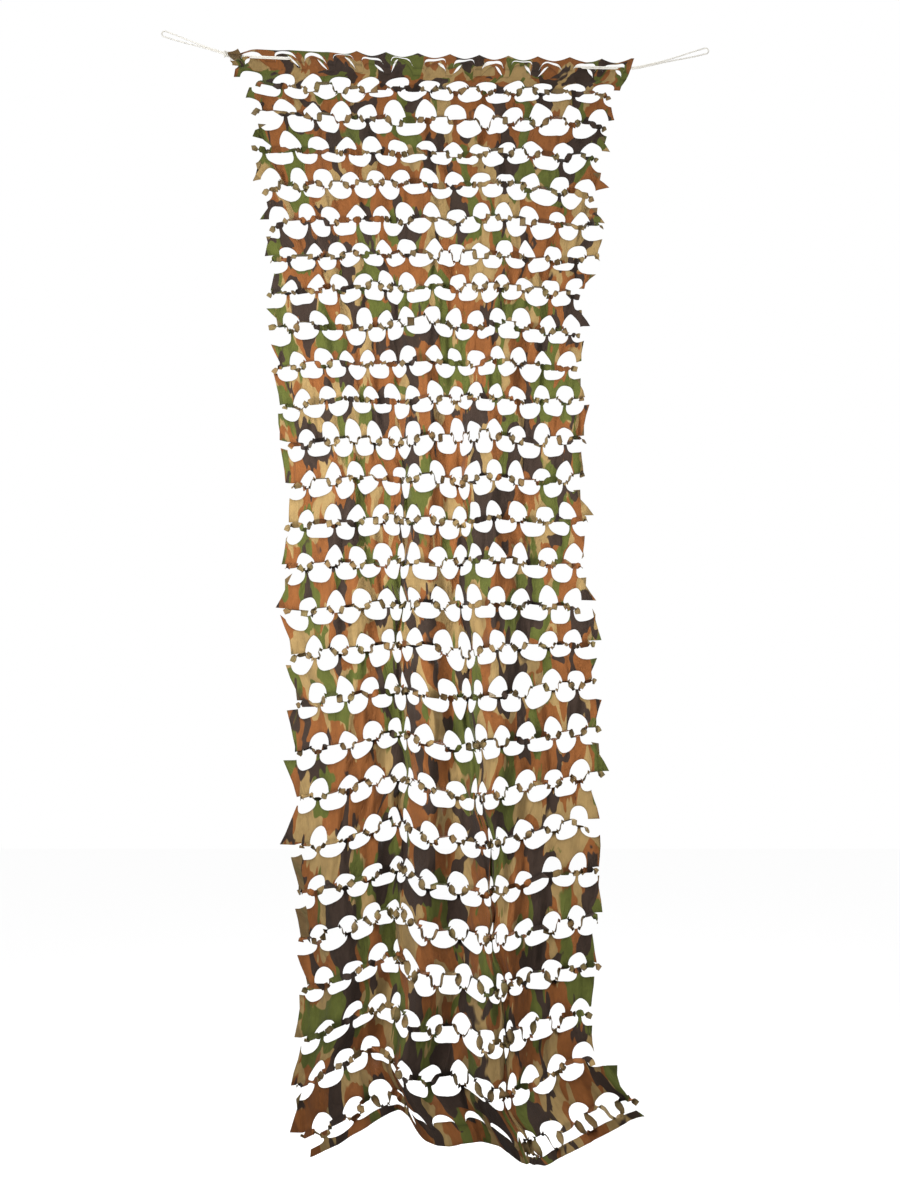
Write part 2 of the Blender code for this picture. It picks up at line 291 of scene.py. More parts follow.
# How far the rows sink towards the net's two sides, in metres.
DROOPS = (
    # row, left, right
    (1.0, -0.006, 0.000),
    (3.0, 0.000, 0.005),
    (4.0, 0.010, 0.015),
    (6.0, 0.018, 0.020),
    (8.0, 0.021, 0.016),
    (10.0, 0.020, 0.008),
    (12.0, 0.018, 0.005),
    (15.0, 0.020, 0.003),
    (17.5, 0.021, -0.020),
    (20.0, 0.014, -0.020),
    (22.0, 0.012, 0.000),
    (24.0, 0.004, 0.000),
    (26.35, 0.000, 0.000),
)
DROOP_LEFT, DROOP_RIGHT = 1, 2
DROOP_REACH = 0.38  # of the width, from either side

# The holes' size down the net, as a share of the arcs' own.
HOLE_SIZES = (
    # row, dome, bowl
    (1.0, 1.45, 1.00),
    (3.0, 1.00, 1.00),
    (8.0, 0.98, 0.97),
    (14.0, 0.95, 0.95),
    (17.0, 0.88, 0.90),
    (20.0, 0.78, 0.78),
    (23.0, 0.75, 0.74),
    (26.0, 0.70, 0.72),
)
DOME_SIZE, BOWL_SIZE = 1, 2

# Deep pleats, each with the pitches of cloth that it takes in.
PLEATS = (
    # row, left pleat's place, its take-in, right pleat's place, its take-in
    (7.0, 5.30, 0.00, 8.40, 0.00),
    (10.0, 5.30, 0.30, 8.40, 0.22),
    (13.0, 5.10, 0.70, 8.45, 0.60),
    (16.0, 4.75, 1.00, 8.45, 0.85),
    (18.0, 4.60, 0.95, 8.40, 1.10),
    (22.0, 4.10, 0.60, 9.20, 1.45),
    (26.35, 3.80, 0.65, 9.40, 1.05),
)
PLEAT_PAIRS = ((1, 2), (3, 4))  # each pleat's columns
PLEAT_DEPTH = 0.020  # metres for each pitch taken in
PLEAT_REACH = (0.24, 0.80)  # half a pleat's width in pitches, and more for each pitch taken in
PLEAT_SWAY = 0.22
PLEAT_SWAY_WAVES = 1.3  # a row
LEAST_TAKE = 0.01

# Uneven waves over the cloth.
WAVES = (
    # axis, height, waves a pitch, waves a row, seed, octaves
    (1, 0.0080, 0.55, 0.50, 1, 1),
    (1, 0.0060, 1.40, 0.45, 2, 2),
    (1, 0.0032, 2.60, 1.30, 3, 2),
    (0, 0.0055, 0.60, 0.90, 4, 1),
    (0, 0.0030, 1.50, 1.90, 7, 1),
    (2, 0.0065, 0.50, 0.80, 5, 1),
    (2, 0.0040, 1.30, 1.30, 6, 1),
)
LOOSE_ROW, LOOSE_FADE = 0.1, 1.2  # the cloth waves and creases from this row down
FLUTE_DEPTH = 0.0052  # of the soft upright flutes that the teeth pull into the cloth
FLUTE_MEAN = 0.45
FLUTE_SWAY = 0.35

# Shallow creases pressed into the cloth.
CREASE_SWAY = 0.12
CREASE_SWAY_WAVES = 0.6  # a row
CREASE_FADE = 5  # one part in this many of a crease fades out, at each end
CREASES = (
    # first row, last row, place at the first, place at the last, depth, half width
    (3.0, 12.0, 3.3, 3.0, 0.008, 0.35),
    (5.0, 17.0, 10.2, 9.9, -0.007, 0.30),
    (12.0, 25.0, 2.2, 1.9, 0.010, 0.35),
    (15.0, 26.3, 11.3, 11.9, -0.012, 0.35),
    (14.0, 24.0, 6.9, 6.6, 0.009, 0.30),
    (1.0, 8.0, 7.7, 7.9, 0.007, 0.30),
    (19.0, 26.3, 3.0, 2.6, -0.010, 0.30),
    (15.2, 18.6, 5.6, 7.7, 0.008, 0.17),
    (16.5, 20.0, 5.7, 7.4, -0.007, 0.15),
    (18.0, 22.5, 3.4, 2.1, 0.008, 0.17),
    (20.0, 24.6, 6.0, 7.5, 0.007, 0.17),
    (18.6, 23.6, 10.6, 9.9, 0.008, 0.18),
)

# ---- finish, camera and light ----

TAN = "9C8153"
RUST = "865229"
GREEN = "585D28"
DARK = "3B2E26"
REVERSE = "85714C"
REVERSE_BLEED = 0.22
PRINT_FADING, PRINT_ROUGHNESS = 0.30, 0.76
REVERSE_FADING, REVERSE_ROUGHNESS = 0.50, 0.80
CORD_WHITE = "EDEAE2"
# painted shade: the grey laid in the braid's hollows
CORD_HOLLOW_SHADE = "DAD6CB"
WEAVE_SCALE = 260.0
WARP, WARP_SCALE = 1.6, 1.1
BLOT_DETAIL, BLOT_ROUGHNESS = 1.6, 0.46
BLOT_SOFT = 0.006
DRIP_SCALE = (95.0, 4.0)  # drips at the blots' lower ends
DRIP_LENGTH = 0.6
DRIP_PATCHES = (9.0, 9.0)  # they hang here and there
DRIP_LEVEL, DRIP_SOFT = 0.58, 0.05
BRAID_STEP = 0.0021
BRAID_REPEAT = 0.0085
BRAID_WAVES = 0.9
BRAID_SLANT = 0.7
BRAID_FUZZ, FUZZ_SCALE = 0.4, 6.0
BRAID_STRENGTH, BRAID_DISTANCE = 0.5, 0.0004
CORD_ROUGHNESS, CORD_GRAIN = 0.6, 0.2
BRAID_MEAN = 0.6  # of its ridges' height
CORD_SIDES, CORD_RIDGE = 12, 0.00012
KNOT_SIDES, KNOT_RIDGE = 10, 0.00010
SHARP_ANGLE = radians(50)
CLOTH_NOISES = {
    # name: stretch, offset, scale, detail, roughness, distortion
    "slub": ((1.0, 0.12), (0.0, 0.0, 0.0), 260.0, 2.0, 0.5, 0.0),
    "wrinkle": ((1.0, 0.45), (0.0, 0.0, 0.0), 42.0, 3.0, 0.55, 0.6),
    "crumple": ((1.0, 0.30), (4.0, 2.0, 0.0), 15.0, 1.2, 0.5, 0.4),
    "grain": ((1.0, 1.0), (0.0, 0.0, 0.0), 60.0, 2.0, 0.5, 0.0),
    "patch": ((1.0, 0.6), (3.0, 1.0, 0.0), 7.0, 3.0, 0.5, 0.0),
    "fleck": ((1.0, 0.5), (1.0, 7.0, 0.0), 55.0, 3.0, 0.6, 0.0),
}
BUMP_LAYERS = (("slub", 0.35), ("wrinkle", 16.0), ("crumple", 95.0))  # heights over the weave
BUMP_STRENGTH = 0.7
BUMP_DISTANCE = 0.0009
GRAIN = 0.16  # how much the roughness varies
FLECK = 0.55  # how much small uneven patches of dye darken the cloth
EDGE_SHADE_POWER = 3.5  # how close to a cut edge its painted shade keeps
# how much painted shade darkens the cloth at every cut edge, the ribbons' sides too
EDGE_PAINTED_SHADE = 0.38

PRINT_LAYERS = (
    # colour, threshold, scale, offset, turn
    (RUST, 0.475, (12.5, 6.6), (0.0, 0.0, 0.0), 0.25),
    (GREEN, 0.550, (11.5, 6.0), (5.2, 3.1, 2.0), -0.20),
    (DARK, 0.560, (13.5, 7.2), (9.7, 8.3, 5.0), 0.10),
)

CAMERA_PLACE = (0.796, -4.2, -2.108)
CAMERA_RISE = 7.0
CAMERA_LENS = 47.55
CAMERA_SENSOR = 36.0
FLOOR_HEIGHT = -3.25
FLOOR_SIZE = 60.0
WORLD_GLOW = 0.14  # what the world sheds, under the plain white that it shows
LIGHTS = (
    # name, place, target, size, power
    ("key", (-0.45, -1.9, -1.00), (0.75, 0.0, -1.40), (0.8, 1.2), 42.0),
    ("fill", (2.4, -2.3, -1.35), (0.75, 0.0, -1.5), (1.2, 1.6), 15.5),
    ("back_key", (1.9, 2.0, -1.10), (0.75, 0.0, -1.45), (0.8, 1.2), 38.0),
    ("back_fill", (-1.0, 2.3, -1.35), (0.75, 0.0, -1.5), (1.2, 1.6), 18.0),
)
LIGHT_SPREAD = radians(115.0)
FLOOR_SUN = 2.9  # straight down, so that it lights the floor and grazes the net
FLOOR_SUN_SPREAD = 40.0


def linear(hex_code):
    """Scene-linear RGB of an sRGB hex colour."""
    channels = [int(hex_code[i:i + 2], 16) / 255 for i in (0, 2, 4)]
    return [c / 12.92 if c <= 0.04045 else ((c + 0.055) / 1.055) ** 2.4 for c in channels]


def smooth_step(t):
    t = max(0.0, min(t, 1.0))
    return t * t * (3 - 2 * t)


def smooth_through(keys, values, at):
    """Height at one place of a smooth curve through (key, value) points, level past its ends."""
    if at <= keys[0]:
        return values[0]
    last = len(keys) - 1
    if at >= keys[last]:
        return values[last]
    i = 0
    while keys[i + 1] <= at:
        i += 1

    def slope(k):
        before, after = max(k - 1, 0), min(k + 1, last)
        return (values[after] - values[before]) / (keys[after] - keys[before])

    span = keys[i + 1] - keys[i]
    t = (at - keys[i]) / span
    start = values[i] * (1 + 2 * t) * (1 - t) ** 2 + slope(i) * span * t * (1 - t) ** 2
    end = values[i + 1] * t * t * (3 - 2 * t) - slope(i + 1) * span * t * t * (1 - t)
    return start + end


# ---- cord route ----


def span_height(x):
    along = x / NET_SPAN
    return -SPAN_FALL * along - SPAN_SAG * 4 * along * (1 - along)


def rounded_corner(x, free_slope, span_slope):
    reach = max(-CORNER_ROUND, min(x, CORNER_ROUND))
    bend = (free_slope - span_slope) * (reach + CORNER_ROUND) ** 2 / (4 * CORNER_ROUND)
    return bend + (free_slope - span_slope) * max(0.0, x - CORNER_ROUND)


def cord_height(x):
    """Height of the doubled cord's middle, all along, from the net's left corner."""
    inside = max(0.0, min(x, NET_SPAN))
    end_slope = 4 * SPAN_SAG / NET_SPAN
    left_slope = SPAN_FALL / NET_SPAN + end_slope
    right_slope = -SPAN_FALL / NET_SPAN + end_slope
    height = span_height(inside)
    height += left_slope * max(0.0, -x) + right_slope * max(0.0, x - NET_SPAN)
    height += rounded_corner(-x, LEFT_FALL / LEFT_REACH, left_slope)
    height += rounded_corner(x - NET_SPAN, RIGHT_FALL / RIGHT_REACH, right_slope)
    for reach, beyond in ((LEFT_REACH, -x), (RIGHT_REACH, x - NET_SPAN)):
        if 0 < beyond < reach:
            height -= FREE_SAG * 4 * (beyond / reach) * (1 - beyond / reach)
    return height


def strand_offset(x):
    reach = LEFT_REACH if x < 0 else RIGHT_REACH
    beyond = max(-x, x - NET_SPAN, 0.0) / reach
    together = (CORD_DIAMETER + STRAND_GAP) / 2
    parting = smooth_step((beyond - SPREAD_START) / (1 - SPREAD_START))
    return together + (LOOP_RADIUS - together) * parting


FRONT = Vector((0.0, -1.0, 0.0))
NET_CORNER = Vector((LEFT_REACH, 0.0, -cord_height(-LEFT_REACH)))
CORD_STEP = 0.008
LOOP_STEPS = 20


def cord_route():
    """The whole cord, from its first end in the lashing round both loops to its last."""
    first, last = -LEFT_REACH, NET_SPAN + RIGHT_REACH
    count = round((last - first) / CORD_STEP)
    stations = [first + (last - first) * k / count for k in range(count + 1)]
    strands = {
        side: [Vector((x, 0.0, cord_height(x) + side * strand_offset(x))) for x in stations]
        for side in (-1, 1)
    }

    def loop(x, outward):
        turns = [-pi / 2 + pi * k / LOOP_STEPS for k in range(1, LOOP_STEPS)]
        return [
            Vector((x + outward * LOOP_RADIUS * cos(t), 0.0,
                    cord_height(x) + LOOP_RADIUS * sin(t)))
            for t in turns
        ]

    joint = Vector((-KNOT_OUT, 0.0, cord_height(-KNOT_OUT) - strand_offset(-KNOT_OUT)))
    gap = Vector((STRAND_GAP, 0.0, 0.0))
    inward = [p for p in strands[-1] if p.x > joint.x + CORD_DIAMETER]
    outward = [p for p in strands[-1] if p.x < joint.x - CORD_DIAMETER]
    route = [joint + gap] + inward + loop(last, 1) + strands[1][::-1]
    return [NET_CORNER + p for p in route + loop(first, -1)[::-1] + outward + [joint - gap]]


def knot_route():
    """Turns laid round both strands, with a short tail at the front and at the back."""
    half_depth = CORD_DIAMETER + KNOT_CLEARANCE
    half_height = strand_offset(-KNOT_OUT) + half_depth
    points = []
    for step in range(round(KNOT_TURNS * KNOT_STEPS) + 1):
        turn = step / KNOT_STEPS
        x = -KNOT_OUT + (turn - KNOT_TURNS / 2) * KNOT_PITCH
        angle = 2 * pi * turn
        points.append(Vector((x, -half_depth * cos(angle),
                              cord_height(x) + half_height * sin(angle))))
    shares = [k / TAIL_POINTS for k in range(1, TAIL_POINTS + 1)]
    tail = [points[0] - Vector((0, 0, KNOT_TAIL * s)) for s in reversed(shares)]
    far_tail = [points[-1] - Vector((0, 0, KNOT_TAIL * s)) for s in shares]
    return [NET_CORNER + p for p in tail + points + far_tail]


# ---- how the cloth hangs ----

SECTION_COLUMNS, FOLD_COLUMNS, SIDE_COLUMNS, DROOP_COLUMNS, SIZE_COLUMNS, PLEAT_COLUMNS = (
    list(zip(*table)) for table in (SECTIONS, FOLDS, SIDE_CUTS, DROOPS, HOLE_SIZES, PLEATS))
FOLD_PLACES = [line[:3] for line in FOLDS]


def down_table(columns, row, column):
    """Value in one column of a table whose first column is its rows."""
    return smooth_through(columns[0], columns[column], row)


def section(row, column):
    return down_table(SECTION_COLUMNS, row, column)


def side_cut(row, column):
    return down_table(SIDE_COLUMNS, row, column)


def fold(across, row, column):
    """Depth or lift of the cloth at a fraction of its width."""
    keys = [smooth_through((0.0, LOW_ROW, HEM_ROW), places, row) for places in FOLD_PLACES]
    return smooth_through(keys, FOLD_COLUMNS[column], across)


def hang(across, row):
    """Place of a point of the cloth on its broad folds, from the net's left corner."""
    left, right = section(row, LEFT), section(row, RIGHT)
    x = left + (right - left) * across
    tilt = span_height(x) * exp(-max(row, 0.0) / TILT_ROWS)
    to_hem = max(0.0, (row - MID_ROW) / (HEM_ROW - MID_ROW))
    low, lift = fold(across, row, LIFT_LOW), fold(across, row, LIFT_HEM)
    lift = low + (lift - low) * smooth_step((row - LOW_ROW) / (HEM_ROW - LOW_ROW))
    z = tilt - section(row, DROP) + lift * to_hem**LIFT_POWER
    for column, near in ((DROOP_LEFT, across), (DROOP_RIGHT, 1 - across)):
        z -= down_table(DROOP_COLUMNS, row, column) * smooth_step(1 - near / DROOP_REACH)
    to_mid = smooth_step((row - FLAT_ROW) / (MID_ROW - FLAT_ROW))
    mid, hem = fold(across, row, DEPTH_MID), fold(across, row, DEPTH_HEM)
    return Vector((x, mid * to_mid + (hem - mid) * to_hem, z))


def wander(x, y, seed, octaves=1):
    """Smooth noise from about -1 to 1. Each seed is a slice of its own."""
    slice_at = seed * 7.3
    value = noise.noise((x, y, slice_at))
    if octaves > 1:
        value += 0.5 * noise.noise((x * 2.1, y * 2.1, slice_at + 3.1))
    return value * 1.6


def taken_in(at, row):
    """Pitches taken in by the pleats up to one place, and the depth of the cloth in them."""
    total = depth = 0.0
    for number, (place, taking) in enumerate(PLEAT_PAIRS):
        take = down_table(PLEAT_COLUMNS, row, taking)
        if take < LEAST_TAKE:
            continue
        centre = down_table(PLEAT_COLUMNS, row, place)
        sway = PLEAT_SWAY * wander(row * PLEAT_SWAY_WAVES, number, 21)
        offset = (at - centre - sway) / (PLEAT_REACH[1] * take + PLEAT_REACH[0])
        total += take * smooth_step((offset + 1) / 2)
        depth += PLEAT_DEPTH * take * smooth_step(1 - abs(offset))
    return total, depth


def creased(at, row):
    depth = 0.0
    for first, last, start, end, deep, half in CREASES:
        if first < row < last:
            down = (row - first) / (last - first)
            sway = CREASE_SWAY * wander(row * CREASE_SWAY_WAVES, first, 23)
            centre = start + (end - start) * down + sway
            fade = smooth_step(min(down, 1 - down) * CREASE_FADE)
            depth += deep * fade * exp(-(((at - centre) / half) ** 2))
    return depth


def drape(at, row):
    """Place of a point of the cloth with its pleats, creases, waves and flutes."""
    first, last = side_cut(row, CUT_FIRST), side_cut(row, CUT_LAST)
    start, _ = taken_in(first, row)
    end, _ = taken_in(last, row)
    taken, pleat = taken_in(at, row)
    across = (at - taken - first + start) / (last - end - first + start)
    place = hang(across, row)
    loose = smooth_step((row - LOOSE_ROW) / LOOSE_FADE)
    place.y += pleat + loose * creased(at, row)
    for axis, height, along, down, seed, octaves in WAVES:
        place[axis] += loose * height * wander(at * along, row * down, seed, octaves)
    flute = FLUTE_DEPTH * (FLUTE_MEAN + wander(at * 0.7, row * 0.6, 8))
    crest = at + FLUTE_SWAY * wander(at * 0.5, row * 0.7, 9)
    place.y += loose * flute * sin(2 * pi * crest)
    return place


# ---- the cut pattern ----
# Upper teeth hang between the domes and lower teeth stand at the dome centres. A ribbon joins
# each tooth to the next, and its side runs turn over and show the reverse.


def dome_centres():
    """Dome centres along a row in pitches, with one more past each side."""
    centres = []
    at = EDGE_MARGIN
    for count in DOME_GROUPS:
        for number in range(count):
            if centres:
                at += WIDE_GAP if number == 0 else 1.0
            centres.append(at)
    return [centres[0] - 1.0] + centres + [centres[-1] + 1.0]


def tooth_places(domes):
    """Middle and half width of the upper tooth after each dome but the last."""
    places = []
    for before, after in zip(domes, domes[1:]):
        width = WIDE_TOOTH if after - before > 1 + NEAR else UPPER_TOOTH
        places.append(((before + after) / 2, width / 2))
    return places


def column_places(domes, teeth):
    """Sample places along a row: each tooth's sides and middle, and the arcs between them."""
    places = []
    for number, dome in enumerate(domes):
        for side in (-1, 1):
            tooth = number if side == 1 else number - 1
            if not 0 <= tooth < len(teeth):
                continue
            middle, half = teeth[tooth]
            start, end = TOOTH / 2, abs(middle - dome) - half
            places += [dome + side * start, dome + side * end]
            for step in range(1, ARC_STEPS):
                share = (1 - cos(pi * step / ARC_STEPS)) / 2
                places.append(dome + side * (start + (end - start) * share))
        places.append(dome)
    places += [middle for middle, _ in teeth]
    return sorted(places)


DOMES = dome_centres()
TEETH = tooth_places(DOMES)
TOOTH_MIDDLES = [middle for middle, _ in TEETH]
COLUMNS = column_places(DOMES, TEETH)
draw = random.Random(SEED)


def about(size):
    """A drawn amount, up to size either way."""
    return draw.uniform(-size, size)


def on_tooth(at, middle, half):
    return abs(at - middle) <= half + NEAR


def gap_number(places, at):
    """Number of the place that ends the gap round this one."""
    return max(1, min(sum(place < at for place in places), len(places) - 1))


def is_closed(row, at):
    """Whether the cuts still lie closed, but for their crescents."""
    return row == ROWS - 1 and CLOSED_PLACES[0] < at < CLOSED_PLACES[1]


def row_height(row):
    return section(min(row + 0.5, HEM_ROW), DROP) - section(row - 0.5, DROP)


def drawn_tooth(row, at):
    """How long and how turned one tooth's tip is, and how loose its ribbons hang."""
    slack = wander(at * SLACK_WAVES[0], row * SLACK_WAVES[1], 11) + about(SLACK)
    loose = smooth_step(LOOSENESS[0] + slack * LOOSENESS[1])
    if row >= CALM_ROW and at < CALM_PLACE:
        loose *= CALM_SHARE
    longer = 1 + LOW_SWING * smooth_step((row - SWING_START) / SWING_ROWS) * loose
    half_link = LINK_WIDTH / 2 / row_height(row)
    swing = (SWING[0] + SWING[1] * loose) * longer * 2 * half_link / LINK_WIDTH
    roll = ROLL[0] + ROLL[1] * loose + about(ROLL_SPREAD)
    tip = 0.0 if is_closed(row, at) else swing + half_link * cos(roll)
    return {"tip": tip, "roll": roll, "side": draw.choice((-1, 1)), "loose": loose}


def drawn_arc(row, number, kind):
    """Size and shape of the dome or bowl by one dome centre."""
    reach, power, size = {"dome": (DOME_RISE, DOME_POWER, DOME_SIZE),
                          "bowl": (BOWL_FALL, BOWL_POWER, BOWL_SIZE)}[kind]
    if not is_closed(row, DOMES[number]):
        reach *= down_table(SIZE_COLUMNS, row, size)
    if kind == "bowl" and row == ROWS - 1:
        reach = HEM_BOWL
    if row >= CALM_ROW and number < CALM_PLACE:
        reach *= CALM_SIZE
    return {
        "reach": reach * (1 + draw.uniform(*SIZE_SPREAD)),
        "power": power + draw.uniform(*POWER_SPREAD[kind]),
        "skew": about(SKEW),
        "open": draw.uniform(*CRESCENT),
        "lean": about(CRESCENT_LEAN),
    }


def cut_table():
    """Each cut row's own tooth sizes, arc shapes and ribbon turns, drawn once."""
    rows = []
    for row in range(ROWS):
        cuts = {"upper": [], "lower": [], "dome": [], "bowl": []}
        for number, dome in enumerate(DOMES):
            cuts["lower"].append(drawn_tooth(row, dome))
            cuts["upper"].append(drawn_tooth(row, dome + 0.5))
            for kind in ("dome", "bowl"):
                cuts[kind].append(drawn_arc(row, number, kind))
            if is_closed(row, dome):
                cuts["dome"][number].update(HEM_CRESCENT)
        rows.append(cuts)
    return rows


CUTS = cut_table()


def arc(offset, power):
    return max(0.0, 1 - min(offset, 1.0) ** power) ** (1 / power)


def arched(at, left, right, cut, left_tip, right_tip):
    """Distance from the row's line to an arc that springs from two teeth's tips."""
    middle = (left + right) / 2 + cut["skew"]
    offset = (at - middle) / (right - middle if at > middle else left - middle)
    share = (at - left) / (right - left)
    spring = left_tip + (right_tip - left_tip) * max(0.0, min(share, 1.0))
    return spring + (cut["reach"] - spring) * arc(offset, cut["power"])


def dome_under(at):
    """Number of the dome whose cell holds this place, or None on an upper tooth."""
    if any(on_tooth(at, middle, half) for middle, half in TEETH):
        return None
    return gap_number(TOOTH_MIDDLES, at)


def dome_ends(number):
    """The two places where a dome springs from its teeth."""
    left, right = TEETH[number - 1], TEETH[number]
    return left[0] + left[1], right[0] - right[1]


def dome_edge(at, row):
    """Row value of an upper band's lower edge."""
    cuts = CUTS[row]
    for number, (middle, half) in enumerate(TEETH):
        if on_tooth(at, middle, half):
            return row - cuts["upper"][number]["tip"]
    number = dome_under(at)
    return row - arched(at, *dome_ends(number), cuts["dome"][number],
                        cuts["upper"][number - 1]["tip"], cuts["upper"][number]["tip"])


def bowl_edge(at, row):
    """Row value of a lower band's upper edge."""
    cuts = CUTS[row]
    if is_closed(row, at):
        return dome_edge(at, row) + crescent(at, row)
    for number, dome in enumerate(DOMES):
        if on_tooth(at, dome, TOOTH / 2):
            return row + cuts["lower"][number]["tip"]
    number = gap_number(DOMES, at)
    return row + arched(at, DOMES[number - 1] + TOOTH / 2, DOMES[number] - TOOTH / 2,
                        cuts["bowl"][number - 1], cuts["lower"][number - 1]["tip"],
                        cuts["lower"][number]["tip"])


def crescent(at, row):
    """How far a closed cut still gapes, in rows: nothing on the teeth, most at the crown."""
    number = dome_under(at)
    if number is None:
        return 0.0
    cut = CUTS[row]["dome"][number]
    start, end = dome_ends(number)
    share = (at - start) / (end - start)
    gape = cut["open"] * (FIRST_GAPE if row == 0 else 1.0)
    if row == 0 and tooth_side(number - 1) != tooth_side(number):
        gape = CORD_GAPE
    arch = max(0.0, 4 * share * (1 - share)) ** CRESCENT_POWER
    return gape * arch * (1 + cut["lean"] * (share - 0.5))


def tooth_side(number):
    return 1 if number in BACK_TEETH else -1


def cord_side(at):
    """-1 where the top band passes in front of the cord, 1 behind, and 0 where it changes."""
    number = max(0, min(sum(dome < at for dome in DOMES) - 1, len(TEETH) - 1))
    side = tooth_side(number)
    for other, dome in ((number - 1, DOMES[number]), (number + 1, DOMES[number + 1])):
        if 0 <= other < len(TEETH) and tooth_side(other) != side:
            side *= smooth_step(abs(at - dome) / CHANGE_REACH)
    return side


def scallop(at):
    """How far the top edge stands up: in points over the teeth, but flat at the left corner."""
    number = gap_number(TOOTH_MIDDLES, at)
    start, end = TOOTH_MIDDLES[number - 1], TOOTH_MIDDLES[number]
    away = min(abs(2 * (at - start) / (end - start) - 1), 1.0)
    fade = smooth_step((at - SCALLOP_START) / SCALLOP_FADE)
    return SCALLOP * (away**SCALLOP_POWER - SCALLOP_MEAN) * fade


def cloth_point(at, row):
    """Place of a point of the cloth, with the top band passed round the cord."""
    place = drape(at, row)
    if row < 0.0:
        place.z += scallop(at) * smooth_step(row / TOP_EDGE_ROW)
    low = smooth_step((row - BUNCH_START) / BUNCH_FADE)
    bunch = (1 - smooth_step(at / BUNCH_REACH)) * (1 - low)
    if bunch > 0.0:
        cord = hang(0.0, 0.0).z
        place.z = cord + (place.z - cord) * (1 - BUNCH_SHARE * bunch)
        place.y += BUNCH_DEPTH * bunch * sin(row * BUNCH_RIPPLES[0] + at * BUNCH_RIPPLES[1])
    if row < WOVEN_ROWS + WOVEN_FADE:
        clear = CORD_DIAMETER / 2 + CLOTH_THICKNESS / 2 + CORD_CLEARANCE
        share = 1 - smooth_step((row - WOVEN_ROWS) / WOVEN_FADE)
        place.y += cord_side(at) * clear * share
    return place


# ---- the net's mesh ----


class Mesh:
    """Points with their place in the flat cloth, and faces."""

    def __init__(self):
        self.points = []
        self.flat = []
        self.faces = []

    def point(self, place, flat):
        self.points.append(NET_CORNER + place)
        self.flat.append(flat)
        return len(self.points) - 1

    def place(self, point):
        return self.points[point] - NET_CORNER

    def cloth(self, at, row, band, edge):
        """A point of the draped cloth. edge is 1 at a cut."""
        return self.point(cloth_point(at, row), flat_place(at, row, band, edge))

    def strip(self, first, second):
        """Quads between two lists of points, the second to the right of the first."""
        for (a, b), (d, c) in zip(zip(first, first[1:]), zip(second, second[1:])):
            self.faces.append((a, b, c, d))


def flat_place(at, row, band, edge):
    """Place in the flat cloth, where the cuts are still closed, and 1 at a cut edge."""
    middle = max(band, 1) - 0.5
    return (at * COLUMN_PITCH, -(middle * ROW_PITCH + (row - middle) * HUNG_PITCH), edge)


def ribbon_edge(at, row):
    """Row value of the second arc of slits, a ribbon's width under the first."""
    return dome_edge(at, row) + LINK_WIDTH / 2 / row_height(row) * 2


def slit(at, row):
    """How far that second arc gapes: a short slit beside the crown."""
    number = dome_under(at)
    if number is None:
        return 0.0
    side = 1 if CUTS[row]["dome"][number]["lean"] > SLIT_LEAN else -1
    centre = DOMES[number] + SLIT_SHIFT * side
    return SLIT * max(0.0, 1 - ((at - centre) / SLIT_REACH) ** 2)


# The seams between the bands, from the top: the edge above, the gap below it, and the cut row.
SEAMS = (
    [{"row": 0, "above": dome_edge, "gape": crescent, "closed": True},
     {"row": 0, "above": ribbon_edge, "gape": slit, "closed": True}]
    + [{"row": row, "above": dome_edge, "closed": False} for row in range(1, ROWS)]
)


def top_of(over, at):
    """Row value of a band's upper edge, and whether the band above holds on to it there."""
    if over is None:
        return TOP_EDGE_ROW, False
    row = over["row"]
    if over["closed"]:
        gape = over["gape"](at, row)
        return over["above"](at, row) + gape, gape < NEAR
    return bowl_edge(at, row), is_closed(row, at) and crescent(at, row) < NEAR


def add_band(net, number, roof):
    """One band between two seams. roof holds the points shared with the band above."""
    over = SEAMS[number - 1] if number else None
    under = SEAMS[number] if number < len(SEAMS) else None
    row = under["row"] if under else ROWS
    middle_row = min(max(row - 0.5, 0.0), HEM_ROW)
    left = side_cut(middle_row, CUT_FIRST) + draw.uniform(-RAGGED, RAGGED * RAGGED_IN)
    right = side_cut(middle_row, CUT_LAST) + draw.uniform(-RAGGED * RAGGED_IN, RAGGED)
    slants = {left: about(FIN), right: about(FIN)}
    if row == 0 or over and over["row"] == 0:
        left, right = WOVEN_SIDES
        slants = {}
    inner = [at for at in COLUMNS if left + SIDE_ROOM < at < right - SIDE_ROOM]
    if number == 1:
        left = -CORNER_TAB
    columns = {}
    before = None
    for at in [left] + inner + [right]:
        top, joined = top_of(over, at)
        bottom = under["above"](at, under["row"]) if under else HEM_ROW
        bottom = max(bottom, top + LEAST_BAND)
        slant = slants.get(at, 0.0)
        places = [(at + slant * (k / BAND_STEPS - 0.5), top + (bottom - top) * k / BAND_STEPS)
                  for k in range(BAND_STEPS + 1)]
        side_edge = 1.0 if at in (left, right) else 0.0
        column = [net.cloth(*place, row, side_edge) for place in places[1:-1]]
        column.append(net.cloth(*places[-1], row, 1.0))
        shared = roof.get(at) if joined else None
        first = net.cloth(*places[0], row, 1.0) if shared is None else shared
        column.insert(0, first)
        if before:
            net.strip(before, column)
        if at == left and number == 0:
            add_scroll(net, column, SCROLL_RADIUS, SCROLL_FLAP)
        if at == left and row in FOLDED_ENDS:
            add_scroll(net, column, FOLDED_RADIUS, FOLDED_FLAP)
        before = columns[at] = column
    lower_teeth = [(dome, TOOTH / 2) for dome in DOMES]
    tips = {"upper": add_tips(net, under, TEETH, 1, inner, columns),
            "lower": add_tips(net, over, lower_teeth, -1, inner, columns)}
    return tips, {at: column[-1] for at, column in columns.items()}


